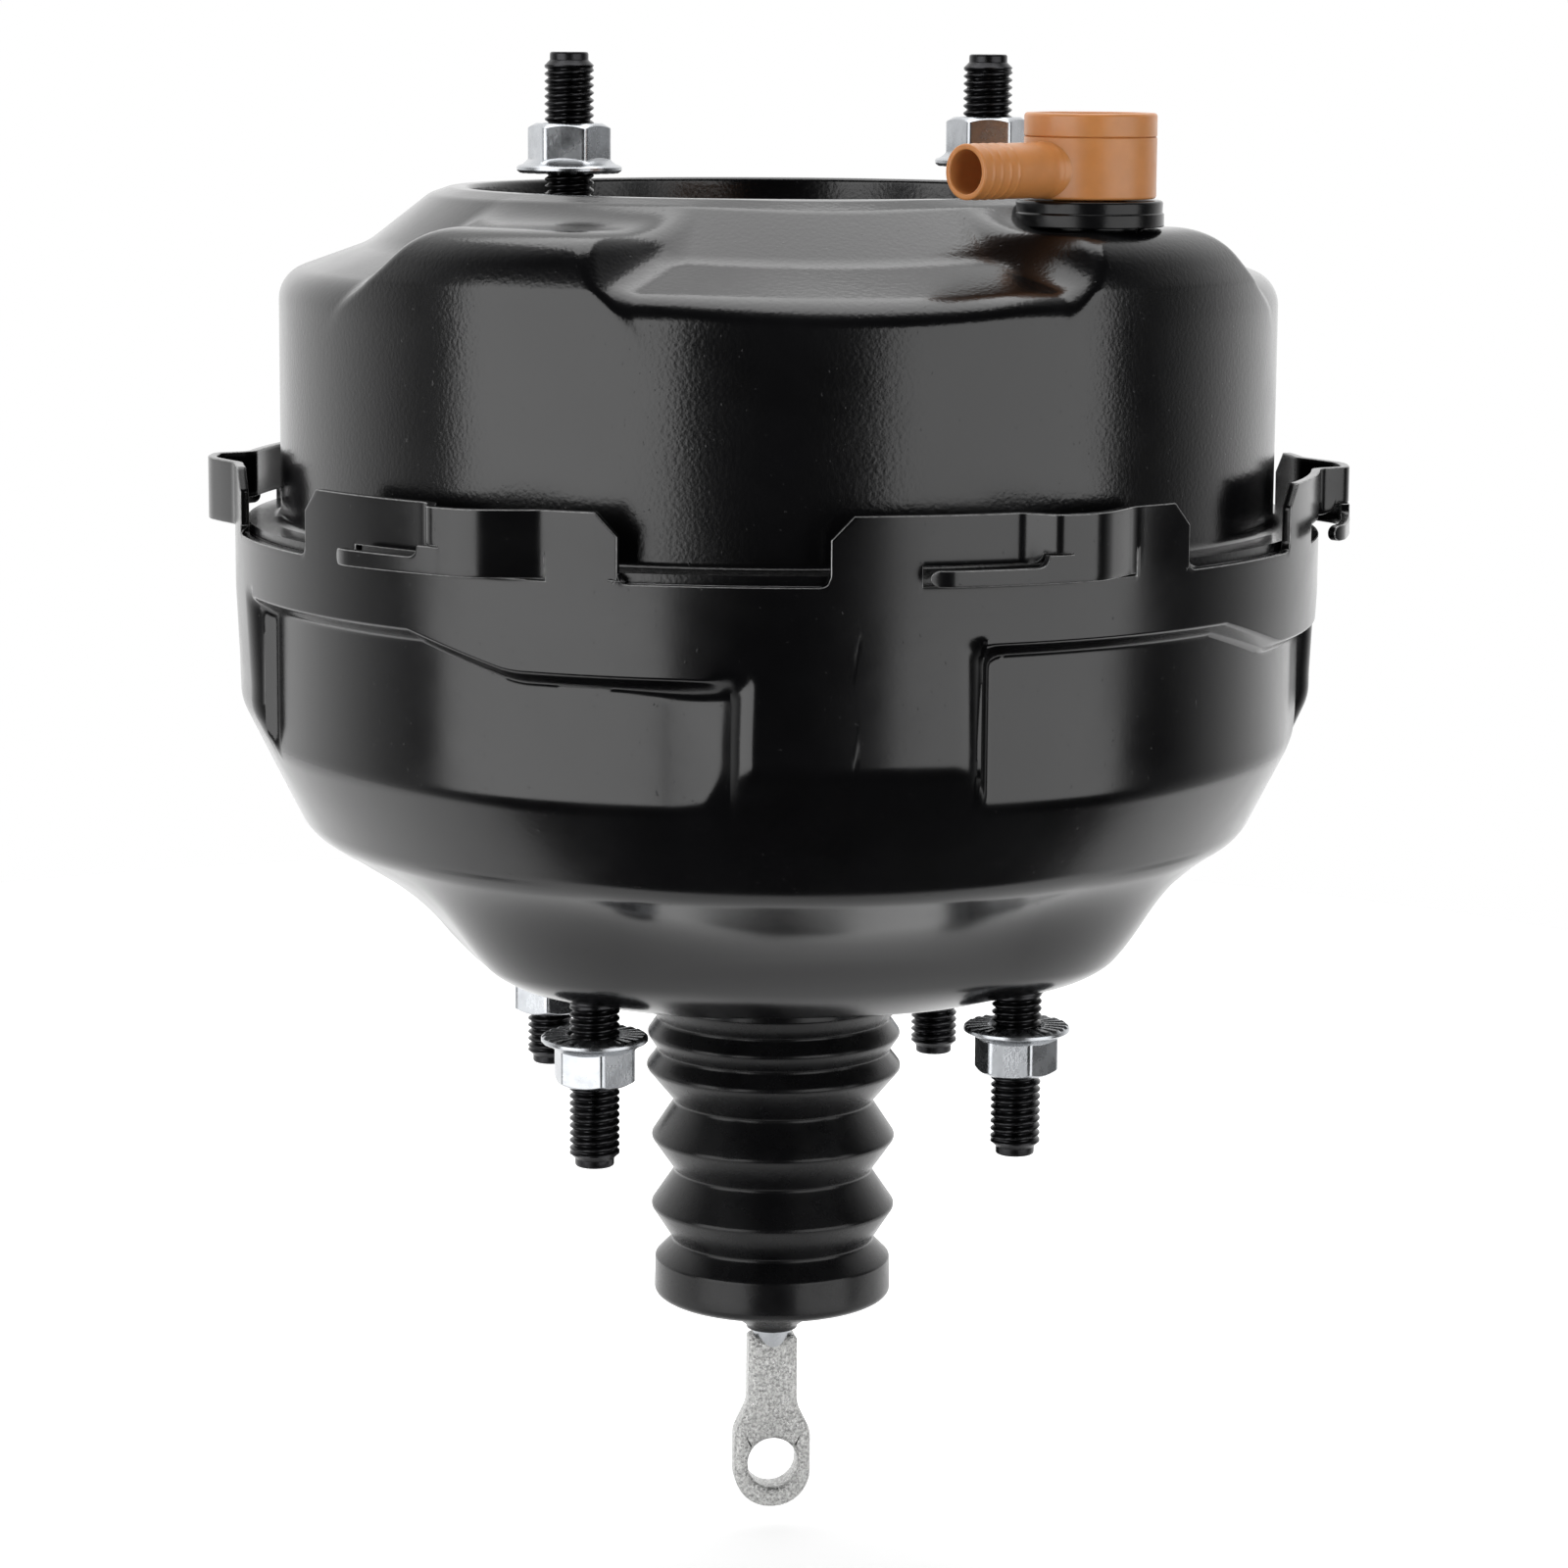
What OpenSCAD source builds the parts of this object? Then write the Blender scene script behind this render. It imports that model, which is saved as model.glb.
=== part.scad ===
// Tandem vacuum brake booster.
// Origin: centre of the firewall mounting face. +Z points along the axis to the master cylinder side.
// The pedal rod hangs towards -Z. The master cylinder studs lie on the X axis.

/* [Shells] */
// Thickness of the pressed steel sheet
sheet_t = 1.8; // [1.4:0.1:2.2]
// Outer radius of the band that carries the tabs, which the shells' other radii follow
band_r = 110.7; // [100:0.1:120]
// How far the band stands out of the rear shell's wall
band_step = 0.8; // [0.5:0.1:3]
// Width of the front shell's flange
flange_w = 6.8; // [6.6:0.1:10]
// Height of the joint between the shells
joint_z = 89.6; // [88:0.2:92]
// Height of the locking tabs above the joint
tab_h = 13; // [9:1:16]
// Number of locking tabs
tab_count = 6; // [5:1:7]
// Angle that one tab covers
tab_angle = 41; // [36:0.5:45]
// Angle from the -Y side to the start of the first tab
tab_start = -3.4; // [-20:0.1:20]
// How far each tab's catch is pressed out of the band
catch_out = 6.3; // [4:0.1:8]
// Height of the hook at the start of a catch
hook_h = 3.7; // [3:0.1:4.5]

/* [Rear shell] */
// Radius where the mounting land meets the cone, as a share of the band's
cone_share = 0.515; // [0.49:0.005:0.54]
// Radius of the shallow bend in the cone, as a share of the band's
cone_bend_share = 0.65; // [0.62:0.005:0.68]
// Height of the shallow bend in the cone
cone_bend_z = 12.8; // [11:0.1:14]
// How far the knee between cone and flank stands in from the wall
knee_in = 13.1; // [11:0.1:16]
// Height of the knee
knee_z = 28.6; // [27:0.1:30]
// Height where the flank meets the straight wall
wall_z = 55; // [50:1:58]
// Distance from a firewall stud's centre to the edge of the mounting land
land_margin = 13.5; // [12:0.5:16]
// Corner radius of the mounting land
land_corner_r = 16; // [12:1:20]
// Rounding of the mounting land's edge
land_edge_r = 6; // [5:0.5:6.5]
// Number of pockets round the wall
pocket_count = 4; // [3:1:5]
// Depth of the pockets
pocket_depth = 3.9; // [2:0.1:4.2]
// Angle that one pocket covers
pocket_angle = 65; // [50:1:68]
// Share of the pocket's angle that has the higher top
pocket_high_share = 0.48; // [0.3:0.01:0.6]
// Height of the pocket's higher top
pocket_high_z = 78; // [74:1:80]
// Height of the pocket's lower top
pocket_low_z = 72; // [66:1:73]
// Height of the sloping ledge over a pocket
ledge_h = 4; // [3:0.5:6]
// Outer radius of the neck that the boot grips
neck_r = 24; // [23.5:0.1:25]
// Length of the neck below the mounting face
neck_h = 8; // [6:0.5:9]

/* [Front shell] */
// Height of the raised ring's crest
ring_z = 158; // [156:0.5:162]
// Radius of the dish wall, as a share of the band's
dish_share = 0.5673; // [0.55:0.0001:0.57]
// Width of the crest
crest_w = 4.2; // [3:0.1:6]
// Depth of the dish below the crest
dish_depth = 10; // [8:0.5:12]
// Height of the bend at the top of the straight wall
shoulder_z = 141.5; // [138:0.5:143]
// How far the break between crown and ring stands in from the front wall
crown_w = 17.9; // [15:0.1:20]
// Height of the break between crown and ring
crown_z = 148; // [146:0.5:150]
// Radius of the hole for the front seal
front_hole_r = 16; // [14:0.5:18]
// Height of the raised pads
pad_z = 153.6; // [152:0.1:155]
// Radius of a pad's flat top
pad_r = 17.5; // [16.5:0.5:18]
// Radius of a pad's foot
pad_foot_r = 27; // [22:0.5:30]
// Distance of the pads' centres from the front wall
pad_in = 19.9; // [18:0.1:20]
// Angle of the pads, either side of the -Y direction
pad_angle = 38.5; // [36:0.5:44]

/* [Studs and nuts] */
// Distance between the master cylinder studs
master_span = 85.7; // [82:0.1:88]
// Distance between the firewall studs in X
firewall_span_x = 85; // [80:0.5:88]
// Distance between the firewall studs in Y
firewall_span_y = 93; // [88:0.5:98]
// Radius of the stud's locating shoulder
stud_r = 5; // [4.5:0.1:5.2]
// Length of the locating shoulder
shoulder_len = 4; // [3:0.5:4.5]
// Height of the master stud tips
master_tip_z = 185; // [180:1:190]
// Length of the firewall studs below the face
firewall_stud_len = 33.8; // [28:0.1:36]
// Radius of the stud heads
stud_head_r = 7.5; // [6.5:0.5:8]
// Thickness of the stud heads
stud_head_t = 3; // [2.5:0.5:3.5]
// Thickness of the two stud plates
plate_t = 2.5; // [2:0.1:3]
// Width of the nut across its flats
nut_flats = 14.8; // [14:0.1:16]
// Height of the nut with its flange
nut_h = 10; // [9:0.5:11]
// Radius of the nut's flange
nut_flange_r = 10.6; // [9.5:0.1:11]
// Thickness of the nut's flange at its rim
nut_flange_t = 1.6; // [1.2:0.1:2]
// Height of the master nuts' flange face, left nut
master_nut_z = 160.8; // [158.5:0.1:163]
// How much higher the right master nut is turned
master_nut_step = 1.6; // [0:0.1:2]
// Depth of the front firewall nuts below the face
near_nut_depth = 7.8; // [5:0.1:9]
// Depth of the back firewall nuts below the face
far_nut_depth = 12; // [5:0.1:14]

/* [Piston and valve] */
// Radius of the power piston's tail
tail_r = 18.5; // [18:0.1:18.6]
// Radius of the bore in the tail
tail_bore_r = 15; // [14.5:0.1:15.5]
// Depth of the tail's end below the mounting face
tail_depth = 69.6; // [67:0.1:72]
// Radius of the power piston's neck, which runs in the divider
piston_neck_r = 21; // [20.5:0.1:21.5]
// Radius of the power piston's rear flange
piston_flange_r = 26; // [25:0.5:28]
// Radius of the plunger
plunger_r = 7; // [6.6:0.1:7.4]
// Radius of the ball on the input rod
ball_r = 4.6; // [4.2:0.1:4.8]
// Stroke of the power piston
stroke = 30; // [25:1:31]
// Travel of the plunger in the power piston
valve_travel = 2; // [1.5:0.1:2.2]
// Thickness of the diaphragms' rubber
rubber_t = 1.5; // [1.2:0.1:1.8]
// Thickness of the diaphragm plates and the divider
disc_t = 1.6; // [1.4:0.1:1.8]
// Width of the primary diaphragm's fold round its plate
primary_fold = 15.6; // [15:0.1:17]
// Width of the secondary diaphragm's fold round its plate
secondary_fold = 10; // [9:0.1:12]
// Radius of the output rod
output_rod_r = 6; // [5.5:0.1:6.5]
// Wire of the return spring
return_wire = 4; // [3.4:0.1:4.2]
// Mean radius of the return spring
return_spring_r = 30; // [28.5:0.1:30.5]
// Turns of the return spring
return_turns = 6; // [5:1:6]

/* [Boot and input rod] */
// Radius of the boot's collar
boot_collar_r = 25.8; // [25.6:0.1:26.6]
// Radius of the boot's end ring
boot_ring_r = 23.7; // [23:0.1:24.5]
// Radius of the boot's long folds at their crests
fold_out_r = 24.2; // [23.5:0.1:25]
// Radius of the boot's long folds in their valleys
fold_in_r = 20.4; // [20.3:0.1:21]
// Pitch of the boot's short folds
short_pitch = 7; // [6:0.1:7.4]
// Depth of the boot's short folds
short_depth = 1.7; // [1:0.1:2]
// Wall of the boot
boot_t = 1.4; // [1.1:0.1:1.4]
// Radius of the input rod below the boot
rod_r = 4.5; // [4:0.1:5]
// Radius of the pedal pin's hole
eye_bore_r = 5.4; // [5:0.1:5.6]
// Thickness of the eye
eye_t = 7; // [6:0.5:8]
// Depth of the hole's centre below the mounting face
eye_depth = 110.6; // [108:0.2:114]
// Half width of the eye
eye_half_w = 8; // [7.6:0.1:9]
// Half width of the shank above the eye
shank_half_w = 5.1; // [4.8:0.1:5.6]

/* [Check valve] */
// Radius of the valve's body
valve_r = 12.7; // [12:0.1:13]
// Height of the valve's body and cap over its grommet
valve_h = 16.2; // [15:0.1:18]
// Height of the cap
valve_cap_h = 4.5; // [3.5:0.1:5]
// Radius of the nozzle
nozzle_r = 5.35; // [4.8:0.05:5.4]
// Radius of the nozzle's bore
nozzle_bore_r = 4; // [3:0.1:4.2]
// Length of the nozzle from the valve's axis
nozzle_len = 34; // [28:1:38]
// Length of the nozzle's flared root, from the valve's axis
nozzle_root = 15.5; // [15:0.1:18]
// Angle of the nozzle, from the +X direction
nozzle_angle = 215; // [205:1:225]
// Radius of the grommet
grommet_r = 14.3; // [13.5:0.1:14.4]
// Height of the grommet over the pad
grommet_h = 4.4; // [3.5:0.1:5]
// Radius of the valve's neck
valve_neck_r = 7; // [6.5:0.1:7.4]

/* [Clearances] */
// Radial clearance of a running fit
run_gap = 0.05; // [0.02:0.01:0.1]
// Radial clearance of a fixed fit
fit_gap = 0.05; // [0:0.01:0.1]
// Gap between pieces that move past each other
free_gap = 0.3; // [0.2:0.05:0.4]

/* [Hidden] */
$fn = 64;

eps = 0.01;
big = 1.3 * band_r;

// Radii that follow the band's
rear_r = band_r - band_step;
flange_r = band_r - sheet_t - 0.7;
front_r = flange_r - flange_w;
catch_r = band_r + catch_out;
cone_r = cone_share * band_r;
cone_bend_r = cone_bend_share * band_r;
knee_r = rear_r - knee_in;
dish_r = dish_share * band_r;
ring_out_r = dish_r + crest_w;
crown_r = front_r - crown_w;
pad_dist = front_r - pad_in;
land_w = firewall_span_x + 2 * land_margin;
land_d = firewall_span_y + 2 * land_margin;

// Levels of the front half, counted from the joint and the ring
tab_top_z = joint_z + tab_h;
hook_a = 9.2;
catch_a = 20;
ramp_a = 32.5;
tab_root = 2;
tab_in_r = band_r - sheet_t + 0.15;
band_z = joint_z - 9;
dish_z = ring_z - dish_depth;
dish_under_z = dish_z - sheet_t;
master_plate_z = dish_under_z - plate_t;
front_in_r = front_r - sheet_t;
pad_wall = 0.8;

// Levels of the rear half
neck_in_r = neck_r - sheet_t;
bead_z = joint_z - disc_t - 6.3;

// Radii of the studs' other stretches
knurl_r = stud_r + 0.4;
thread_r = stud_r - 0.1;
dog_r = stud_r - 1.1;
dog_len = 1.6;

// Levels and radii of the power piston at rest
seat_lip_r = 12;
seat_z = -14.9;
web_z = -12;
disc_pocket_z = 24;
disc_pocket_r = 11.9;
reaction_t = 6;
port_dist = 13.6;
port_r = 1.3;
flange_z = 7;
flange_top_z = 10;
piston_step_r = 18;

// The primary plate, over the piston's flange
primary_z = flange_top_z + rubber_t + free_gap;
primary_wall_r = rear_r - sheet_t - pocket_depth - 1.6;
primary_plate_r = primary_wall_r - primary_fold;
primary_slope_w = 32;
primary_bend_r = primary_plate_r - primary_slope_w;
primary_rim_z = 27.6;
plate_lip_h = 3.6;

// The divider, and the secondary plate over it
divider_wall_r = front_in_r - 2;
divider_neck_r = piston_neck_r + 5;
divider_gap = 3.2;
divider_z = primary_rim_z + plate_lip_h + stroke + divider_gap;
divider_to_step = 9.6;
piston_step_z = divider_z + divider_to_step;
secondary_z = piston_step_z + rubber_t + free_gap;
secondary_plate_r = divider_wall_r - disc_t - secondary_fold;
secondary_slope_w = 36;
secondary_bend_r = secondary_plate_r - secondary_slope_w;
secondary_rim_z = secondary_z + 8.8;
seat_ring_z = secondary_z + disc_t;
lock_ring_t = 1.5;
piston_front_z = seat_ring_z + disc_t + lock_ring_t + 0.5;

// The output rod and its screw
output_rod_end_z = dish_z + 0.5;
screw_r = 3;
screw_len = 12;

// The plunger, its key and the poppet
ball_z = -6;
ball_gap = 0.15;
plunger_rear_z = -16;
plunger_front_z = disc_pocket_z - valve_travel - free_gap;
plunger_flange_r = 8.5;
groove_r = 5.5;
key_z = sheet_t + 1.4;
key_t = 2.8;
key_w = 13;
key_back = 6;
poppet_face_z = plunger_rear_z - 0.2;
retainer_z = 26 - tail_depth;
retainer_h = 14;
poppet_len = 13.8;

// The input rod, its spring seat and the filter
rod_thin_r = rod_r - 0.5;
rod_neck_r = 2.9;
rod_seat_z = 12 - tail_depth;
collar_t = 1.5;
filter_in_r = 8;
filter_top_z = 8.5 - tail_depth;
eye_top_z = -tail_depth - 13.6;
boot_top_z = -2.4;
long_folds = 3;
short_folds = 2;
first_valley_z = 7.3 - tail_depth;
collar_fold_z = -11.2;
fold_room = collar_fold_z - short_folds * short_pitch - first_valley_z;
fold_pitch = fold_room / (long_folds - 0.5);
boot_lip_r = rod_r + free_gap + boot_t;

// The check valve on its grommet
grommet_neck_r = 9.5;
valve_x = pad_dist * sin(pad_angle);
valve_y = -pad_dist * cos(pad_angle);
valve_foot_z = pad_z + grommet_h + free_gap;
valve_top_z = valve_foot_z + valve_h;
valve_seam_z = valve_top_z - valve_cap_h;
valve_floor_z = valve_foot_z + 2.2;
valve_wall = 3.1;
valve_barb_z = pad_z - sheet_t - 3.4;
root_flare = 0.6;
nozzle_z = valve_foot_z + nozzle_r + root_flare / 4;

// Geometry helpers: a path is a list of [x, y] points, a knot list is [x, y, rounding radius]
function unit(v) = v / norm(v);
function left_normal(a, b) = let (d = unit(b - a)) [-d[1], d[0]];
function mitre(p, i) =
    let (n = len(p),
         before = left_normal(p[max(i - 1, 0)], p[max(i - 1, 0) + 1]),
         after = left_normal(p[min(i, n - 2)], p[min(i, n - 2) + 1]))
    (before + after) / (1 + before * after);
// A path moved sideways by t, to the left of its direction
function shifted(p, t) = [for (i = [0 : len(p) - 1]) p[i] + t * mitre(p, i)];
// The closed outline of a sheet of thickness t on the left of a path
function sheet(p, t) = concat(p, [for (i = [len(p) - 1 : -1 : 0]) p[i] + t * mitre(p, i)]);
function corner(a, b, c, r, n) =
    let (u = unit(a - b),
         v = unit(c - b),
         half = acos(u * v) / 2,
         centre = b + unit(u + v) * r / sin(half),
         s = b + u * r / tan(half) - centre,
         e = b + v * r / tan(half) - centre,
         sweep = atan2(s[0] * e[1] - s[1] * e[0], s * e),
         first = atan2(s[1], s[0]))
    [for (k = [0 : n]) centre + r * [cos(first + sweep * k / n), sin(first + sweep * k / n)]];
function flat(k) = [k[0], k[1]];
// A path through knots, with the knots' corners rounded in n steps
function rounded(q, n = 4) =
    [for (i = [0 : len(q) - 1])
        each (i == 0 || i == len(q) - 1 || q[i][2] == 0
            ? [flat(q[i])]
            : corner(flat(q[i - 1]), flat(q[i]), flat(q[i + 1]), q[i][2], n))];
function polar(r, a) = [r * sin(a), -r * cos(a)];

// A ring of rectangular section
module ring(r_out, r_in, z0, z1) {
    rotate_extrude()
        translate([r_in, z0])
            square([r_out - r_in, z1 - z0]);
}

// A sector of a revolved outline, from angle a0 over width a, measured from the -Y side towards +X
module sector(a0, a) {
    rotate([0, 0, a0 - 90])
        rotate_extrude(angle = a)
            children();
}

// Child at each firewall stud, with the side (-1 front, +1 back) in $side
module at_firewall_studs() {
    for (sx = [-1, 1])
        for ($side = [-1, 1])
            translate([sx * firewall_span_x / 2, $side * firewall_span_y / 2, 0])
                children();
}

// Child at each master stud, with the side (-1 left, +1 right) in $side
module at_master_studs() {
    for ($side = [-1, 1])
        translate([$side * master_span / 2, 0, 0])
            children();
}

module rounded_rect(w, d, r) {
    square([w - 2 * r, d], center = true);
    square([w, d - 2 * r], center = true);
    for (sx = [-1, 1])
        for (sy = [-1, 1])
            translate([sx * (w / 2 - r), sy * (d / 2 - r)])
                circle(r);
}

// A coil of round wire along Z, from z0 to z1, as one swept body
module coil(mean_r, wire, z0, z1, turns, steps = 20, sides = 8) {
    last = turns * steps;
    low = z0 + wire / 2;
    high = z1 - wire / 2;
    rings = [for (i = [0 : last])
        let (a = 360 * i / steps)
        [for (k = [0 : sides - 1])
            let (b = 360 * k / sides, r = mean_r + wire / 2 * cos(b))
            [r * cos(a), r * sin(a), low + (high - low) * i / last + wire / 2 * sin(b)]]];
    points = [for (ring_points = rings) each ring_points];
    walls = [for (i = [0 : last - 1])
        for (k = [0 : sides - 1])
            let (m = (k + 1) % sides)
            [i * sides + k, (i + 1) * sides + k, (i + 1) * sides + m, i * sides + m]];
    first_cap = [for (k = [0 : sides - 1]) k];
    last_cap = [for (k = [sides - 1 : -1 : 0]) last * sides + k];
    polyhedron(points, concat(walls, [first_cap, last_cap]));
}

// Outer path of the rear shell, from the neck's end up to its rim
rear_knots = [
    [neck_r, 0, 0],
    [cone_r, 0, 4],
    [cone_bend_r, cone_bend_z, 30],
    [knee_r, knee_z, 10],
    [rear_r, wall_z, 10],
    [rear_r, band_z, 0],
    [band_r, band_z + 2, 0],
    [band_r, joint_z, 0]
];

// One pocket's cutting outline for a form that is smaller by inset
function pocket_outline(top_z, inset) =
    let (floor_r = rear_r - pocket_depth,
         edge = shifted([[floor_r, knee_z + 8], [floor_r, top_z - ledge_h],
                         [rear_r + 1, top_z + ledge_h / pocket_depth]], inset))
    concat(edge, [[big, edge[2][1]], [big, knee_z + 8]]);

module pockets(inset) {
    pitch = 360 / pocket_count;
    extra = inset / rear_r * 180 / PI;
    high_a = pocket_angle * pocket_high_share;
    step_a = 10;
    for (i = [0 : pocket_count - 1]) {
        start = pitch * (i + 0.5) - pocket_angle / 2;
        sector(start - extra, pocket_angle + 2 * extra)
            polygon(pocket_outline(pocket_low_z, inset));
        sector(start - extra, high_a + step_a + 2 * extra)
            polygon(pocket_outline((pocket_low_z + pocket_high_z) / 2, inset));
        sector(start - extra, high_a + 2 * extra)
            polygon(pocket_outline(pocket_high_z, inset));
    }
}

// The mounting land: a rounded block that stands out of the cone
module land(inset) {
    w = land_w / 2 - inset;
    d = land_d / 2 - inset;
    r = land_edge_r - inset;
    h = cone_bend_z + 7;
    intersection() {
        rotate([90, 0, 0])
            linear_extrude(2 * d, center = true)
                polygon(rounded([[-w, h, 0], [-w, inset, r], [w, inset, r], [w, h, 0]], 5));
        rotate([90, 0, 90])
            linear_extrude(2 * w, center = true)
                polygon(rounded([[-d, h, 0], [-d, inset, r], [d, inset, r], [d, h, 0]], 5));
        linear_extrude(h)
            rounded_rect(2 * w, 2 * d, land_corner_r - inset);
    }
}

// The rear shell's solid form, smaller all round by inset
module rear_form(inset) {
    path = shifted(rounded(rear_knots), inset);
    last = path[len(path) - 1];
    difference() {
        union() {
            rotate_extrude()
                polygon(concat([[0, inset]], path, [[last[0], last[1] + inset], [0, last[1] + inset]]));
            land(inset);
        }
        pockets(inset);
    }
}

// Part of a tab: a strip of the wall from height z0 up, over angle a from a0
module tab_strip(a0, a, z0) {
    sector(a0, a)
        translate([tab_in_r, z0])
            square([sheet_t, tab_top_z - z0]);
}

// A catch in plan: from its hook or step out to the crest, then down the ramp
function catch_plan(first) =
    rounded(concat(first, [
        concat(polar(catch_r, catch_a + 2.6), [2]),
        concat(polar(catch_r, catch_a + 7), [6]),
        concat(polar(tab_in_r + 1.2, ramp_a + 1.5), [0])
    ]), 3);

// A tab: the strip runs over the hook, steps out into the catch and ends beyond its ramp
module tab() {
    hook = [concat(polar(catch_r - 2, hook_a + 0.4), [0]), concat(polar(catch_r, hook_a + 2.4), [4]),
            concat(polar(catch_r, hook_a + 9), [0])];
    step = [concat(polar(tab_in_r + 0.9, catch_a - 1.5), [0])];
    tab_strip(0, hook_a, joint_z - tab_root);
    tab_strip(hook_a, catch_a - hook_a, joint_z + hook_h + 0.2);
    tab_strip(ramp_a, tab_angle - ramp_a, joint_z - tab_root);
    translate([0, 0, joint_z + 0.4])
        linear_extrude(hook_h - 0.4)
            polygon(sheet(catch_plan(hook), sheet_t));
    translate([0, 0, joint_z + hook_h])
        linear_extrude(tab_h - hook_h)
            polygon(sheet(catch_plan(step), sheet_t));
    // The lip inside, which holds the front flange down
    sector(hook_a + 1, catch_a - hook_a - 3)
        translate([flange_r - 2.5, joint_z + sheet_t + fit_gap])
            square([tab_in_r - flange_r + 3, hook_h - 1]);
}

module rear_shell() color([0.05, 0.05, 0.06]) {
    difference() {
        union() {
            difference() {
                rear_form(0);
                rear_form(sheet_t);
            }
            for (i = [0 : tab_count - 1])
                rotate([0, 0, tab_start + i * 360 / tab_count])
                    tab();
            ring(neck_r, neck_in_r, -neck_h, sheet_t);
        }
        translate([0, 0, -neck_h - 1])
            cylinder(h = neck_h + 8, r = neck_in_r);
        at_firewall_studs()
            translate([0, 0, -1])
                cylinder(h = sheet_t + 2, r = knurl_r + fit_gap);
    }
}

// Outer path of the front shell, from its flange over the crown into the dish
front_knots = [
    [flange_r, joint_z + sheet_t, 0],
    [front_r, joint_z + sheet_t, 2],
    [front_r, shoulder_z, 7],
    [crown_r, crown_z, 14],
    [ring_out_r + 4, ring_z - 1, 5],
    [ring_out_r, ring_z, 3],
    [dish_r, ring_z, 1.2],
    [dish_r, dish_z, 2.2],
    [0, dish_z, 0]
];

// A pad: a low cone with a flat top, trimmed by the shell's shoulder
module pad(inset) {
    foot_z = shoulder_z - 3;
    intersection() {
        translate(concat(polar(pad_dist, 0), [foot_z - inset]))
            cylinder(h = pad_z - foot_z, r1 = pad_foot_r - inset, r2 = pad_r - inset);
        rotate_extrude()
            polygon([[0, foot_z - inset], [front_r - pad_wall - inset, foot_z - inset],
                     [front_r - pad_wall - inset, shoulder_z - inset],
                     [pad_dist + pad_r - 1 - inset, pad_z], [0, pad_z]]);
    }
}

module at_pads() {
    for (s = [-1, 1])
        rotate([0, 0, s * pad_angle])
            children();
}

// The room over a pad's flat top, where the grommet stands clear of the ring
module pad_room(inset) {
    translate(concat(polar(pad_dist, 0), [pad_z - inset]))
        cylinder(h = 20, r = grommet_r + 1.2 + inset);
}

// The front shell's solid form, smaller all round by inset
module front_form(inset) {
    path = shifted(rounded(front_knots), inset);
    first = path[0];
    difference() {
        union() {
            rotate_extrude()
                polygon(concat(path, [[0, joint_z - inset], [first[0], joint_z - inset]]));
            at_pads() pad(inset);
        }
        at_pads() pad_room(inset);
    }
}

module front_shell() color([0.05, 0.05, 0.06]) {
    difference() {
        front_form(0);
        front_form(sheet_t);
        translate([0, 0, dish_under_z - 1])
            cylinder(h = sheet_t + 2, r = front_hole_r);
        at_master_studs()
            translate([0, 0, dish_under_z - 1])
                cylinder(h = sheet_t + 2, r = knurl_r + fit_gap);
        translate([valve_x, valve_y, pad_z - sheet_t - 1])
            cylinder(h = sheet_t + 2, r = grommet_neck_r + fit_gap);
    }
}

module firewall_stud_plate() color([0.55, 0.56, 0.58]) {
    w = land_w - 2 * (land_edge_r + 0.2);
    d = land_d - 2 * (land_edge_r + 0.2);
    translate([0, 0, sheet_t])
        difference() {
            linear_extrude(plate_t)
                rounded_rect(w, d, land_corner_r - land_edge_r);
            translate([0, 0, -1])
                cylinder(h = plate_t + 2, r = neck_r + 6);
            at_firewall_studs()
                translate([0, 0, -1])
                    cylinder(h = plate_t + 2, r = knurl_r + fit_gap);
        }
}

// A stud along +Z: head and knurled grip below the face, shoulder, thread and dog point above it
module stud(grip, length) {
    rotate_extrude()
        polygon([[0, -grip - stud_head_t], [stud_head_r, -grip - stud_head_t],
                 [stud_head_r, -grip], [knurl_r, -grip], [knurl_r, 0], [stud_r, 0],
                 [stud_r, shoulder_len], [thread_r, shoulder_len + 0.2],
                 [thread_r, length - dog_len - 1], [dog_r, length - dog_len],
                 [dog_r, length - 0.4], [dog_r - 0.4, length], [0, length]]);
}

module firewall_studs() color([0.09, 0.09, 0.1]) {
    at_firewall_studs()
        mirror([0, 0, 1])
            stud(sheet_t + plate_t, firewall_stud_len);
}

module master_studs() color([0.09, 0.09, 0.1]) {
    at_master_studs()
        translate([0, 0, dish_z])
            stud(sheet_t + plate_t, master_tip_z - dish_z);
}

// A flange nut, hexagon up, with its flange face at z = 0
module nut() {
    corner_r = nut_flats / 2 / cos(30);
    difference() {
        union() {
            cylinder(h = nut_flange_t, r = nut_flange_r);
            translate([0, 0, nut_flange_t])
                cylinder(h = 1.4, r1 = nut_flange_r - 0.4, r2 = nut_flats / 2);
            cylinder(h = nut_h, r = corner_r, $fn = 6);
        }
        translate([0, 0, -1])
            cylinder(h = nut_h + 2, r = thread_r + fit_gap);
    }
}

module firewall_nuts() color([0.8, 0.82, 0.84]) {
    at_firewall_studs()
        translate([0, 0, $side < 0 ? -near_nut_depth : -far_nut_depth])
            mirror([0, 0, 1])
                rotate([0, 0, $side * 20])
                    nut();
}

module master_nuts() color([0.8, 0.82, 0.84]) {
    at_master_studs()
        translate([0, 0, master_nut_z + ($side > 0 ? master_nut_step : 0)])
            rotate([0, 0, $side * 12])
                nut();
}

module master_stud_plate() color([0.55, 0.56, 0.58]) {
    difference() {
        ring(dish_r - 4.8, front_hole_r + 4, master_plate_z, dish_under_z);
        at_master_studs()
            translate([0, 0, master_plate_z - 1])
                cylinder(h = plate_t + 2, r = knurl_r + fit_gap);
    }
}

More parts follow.
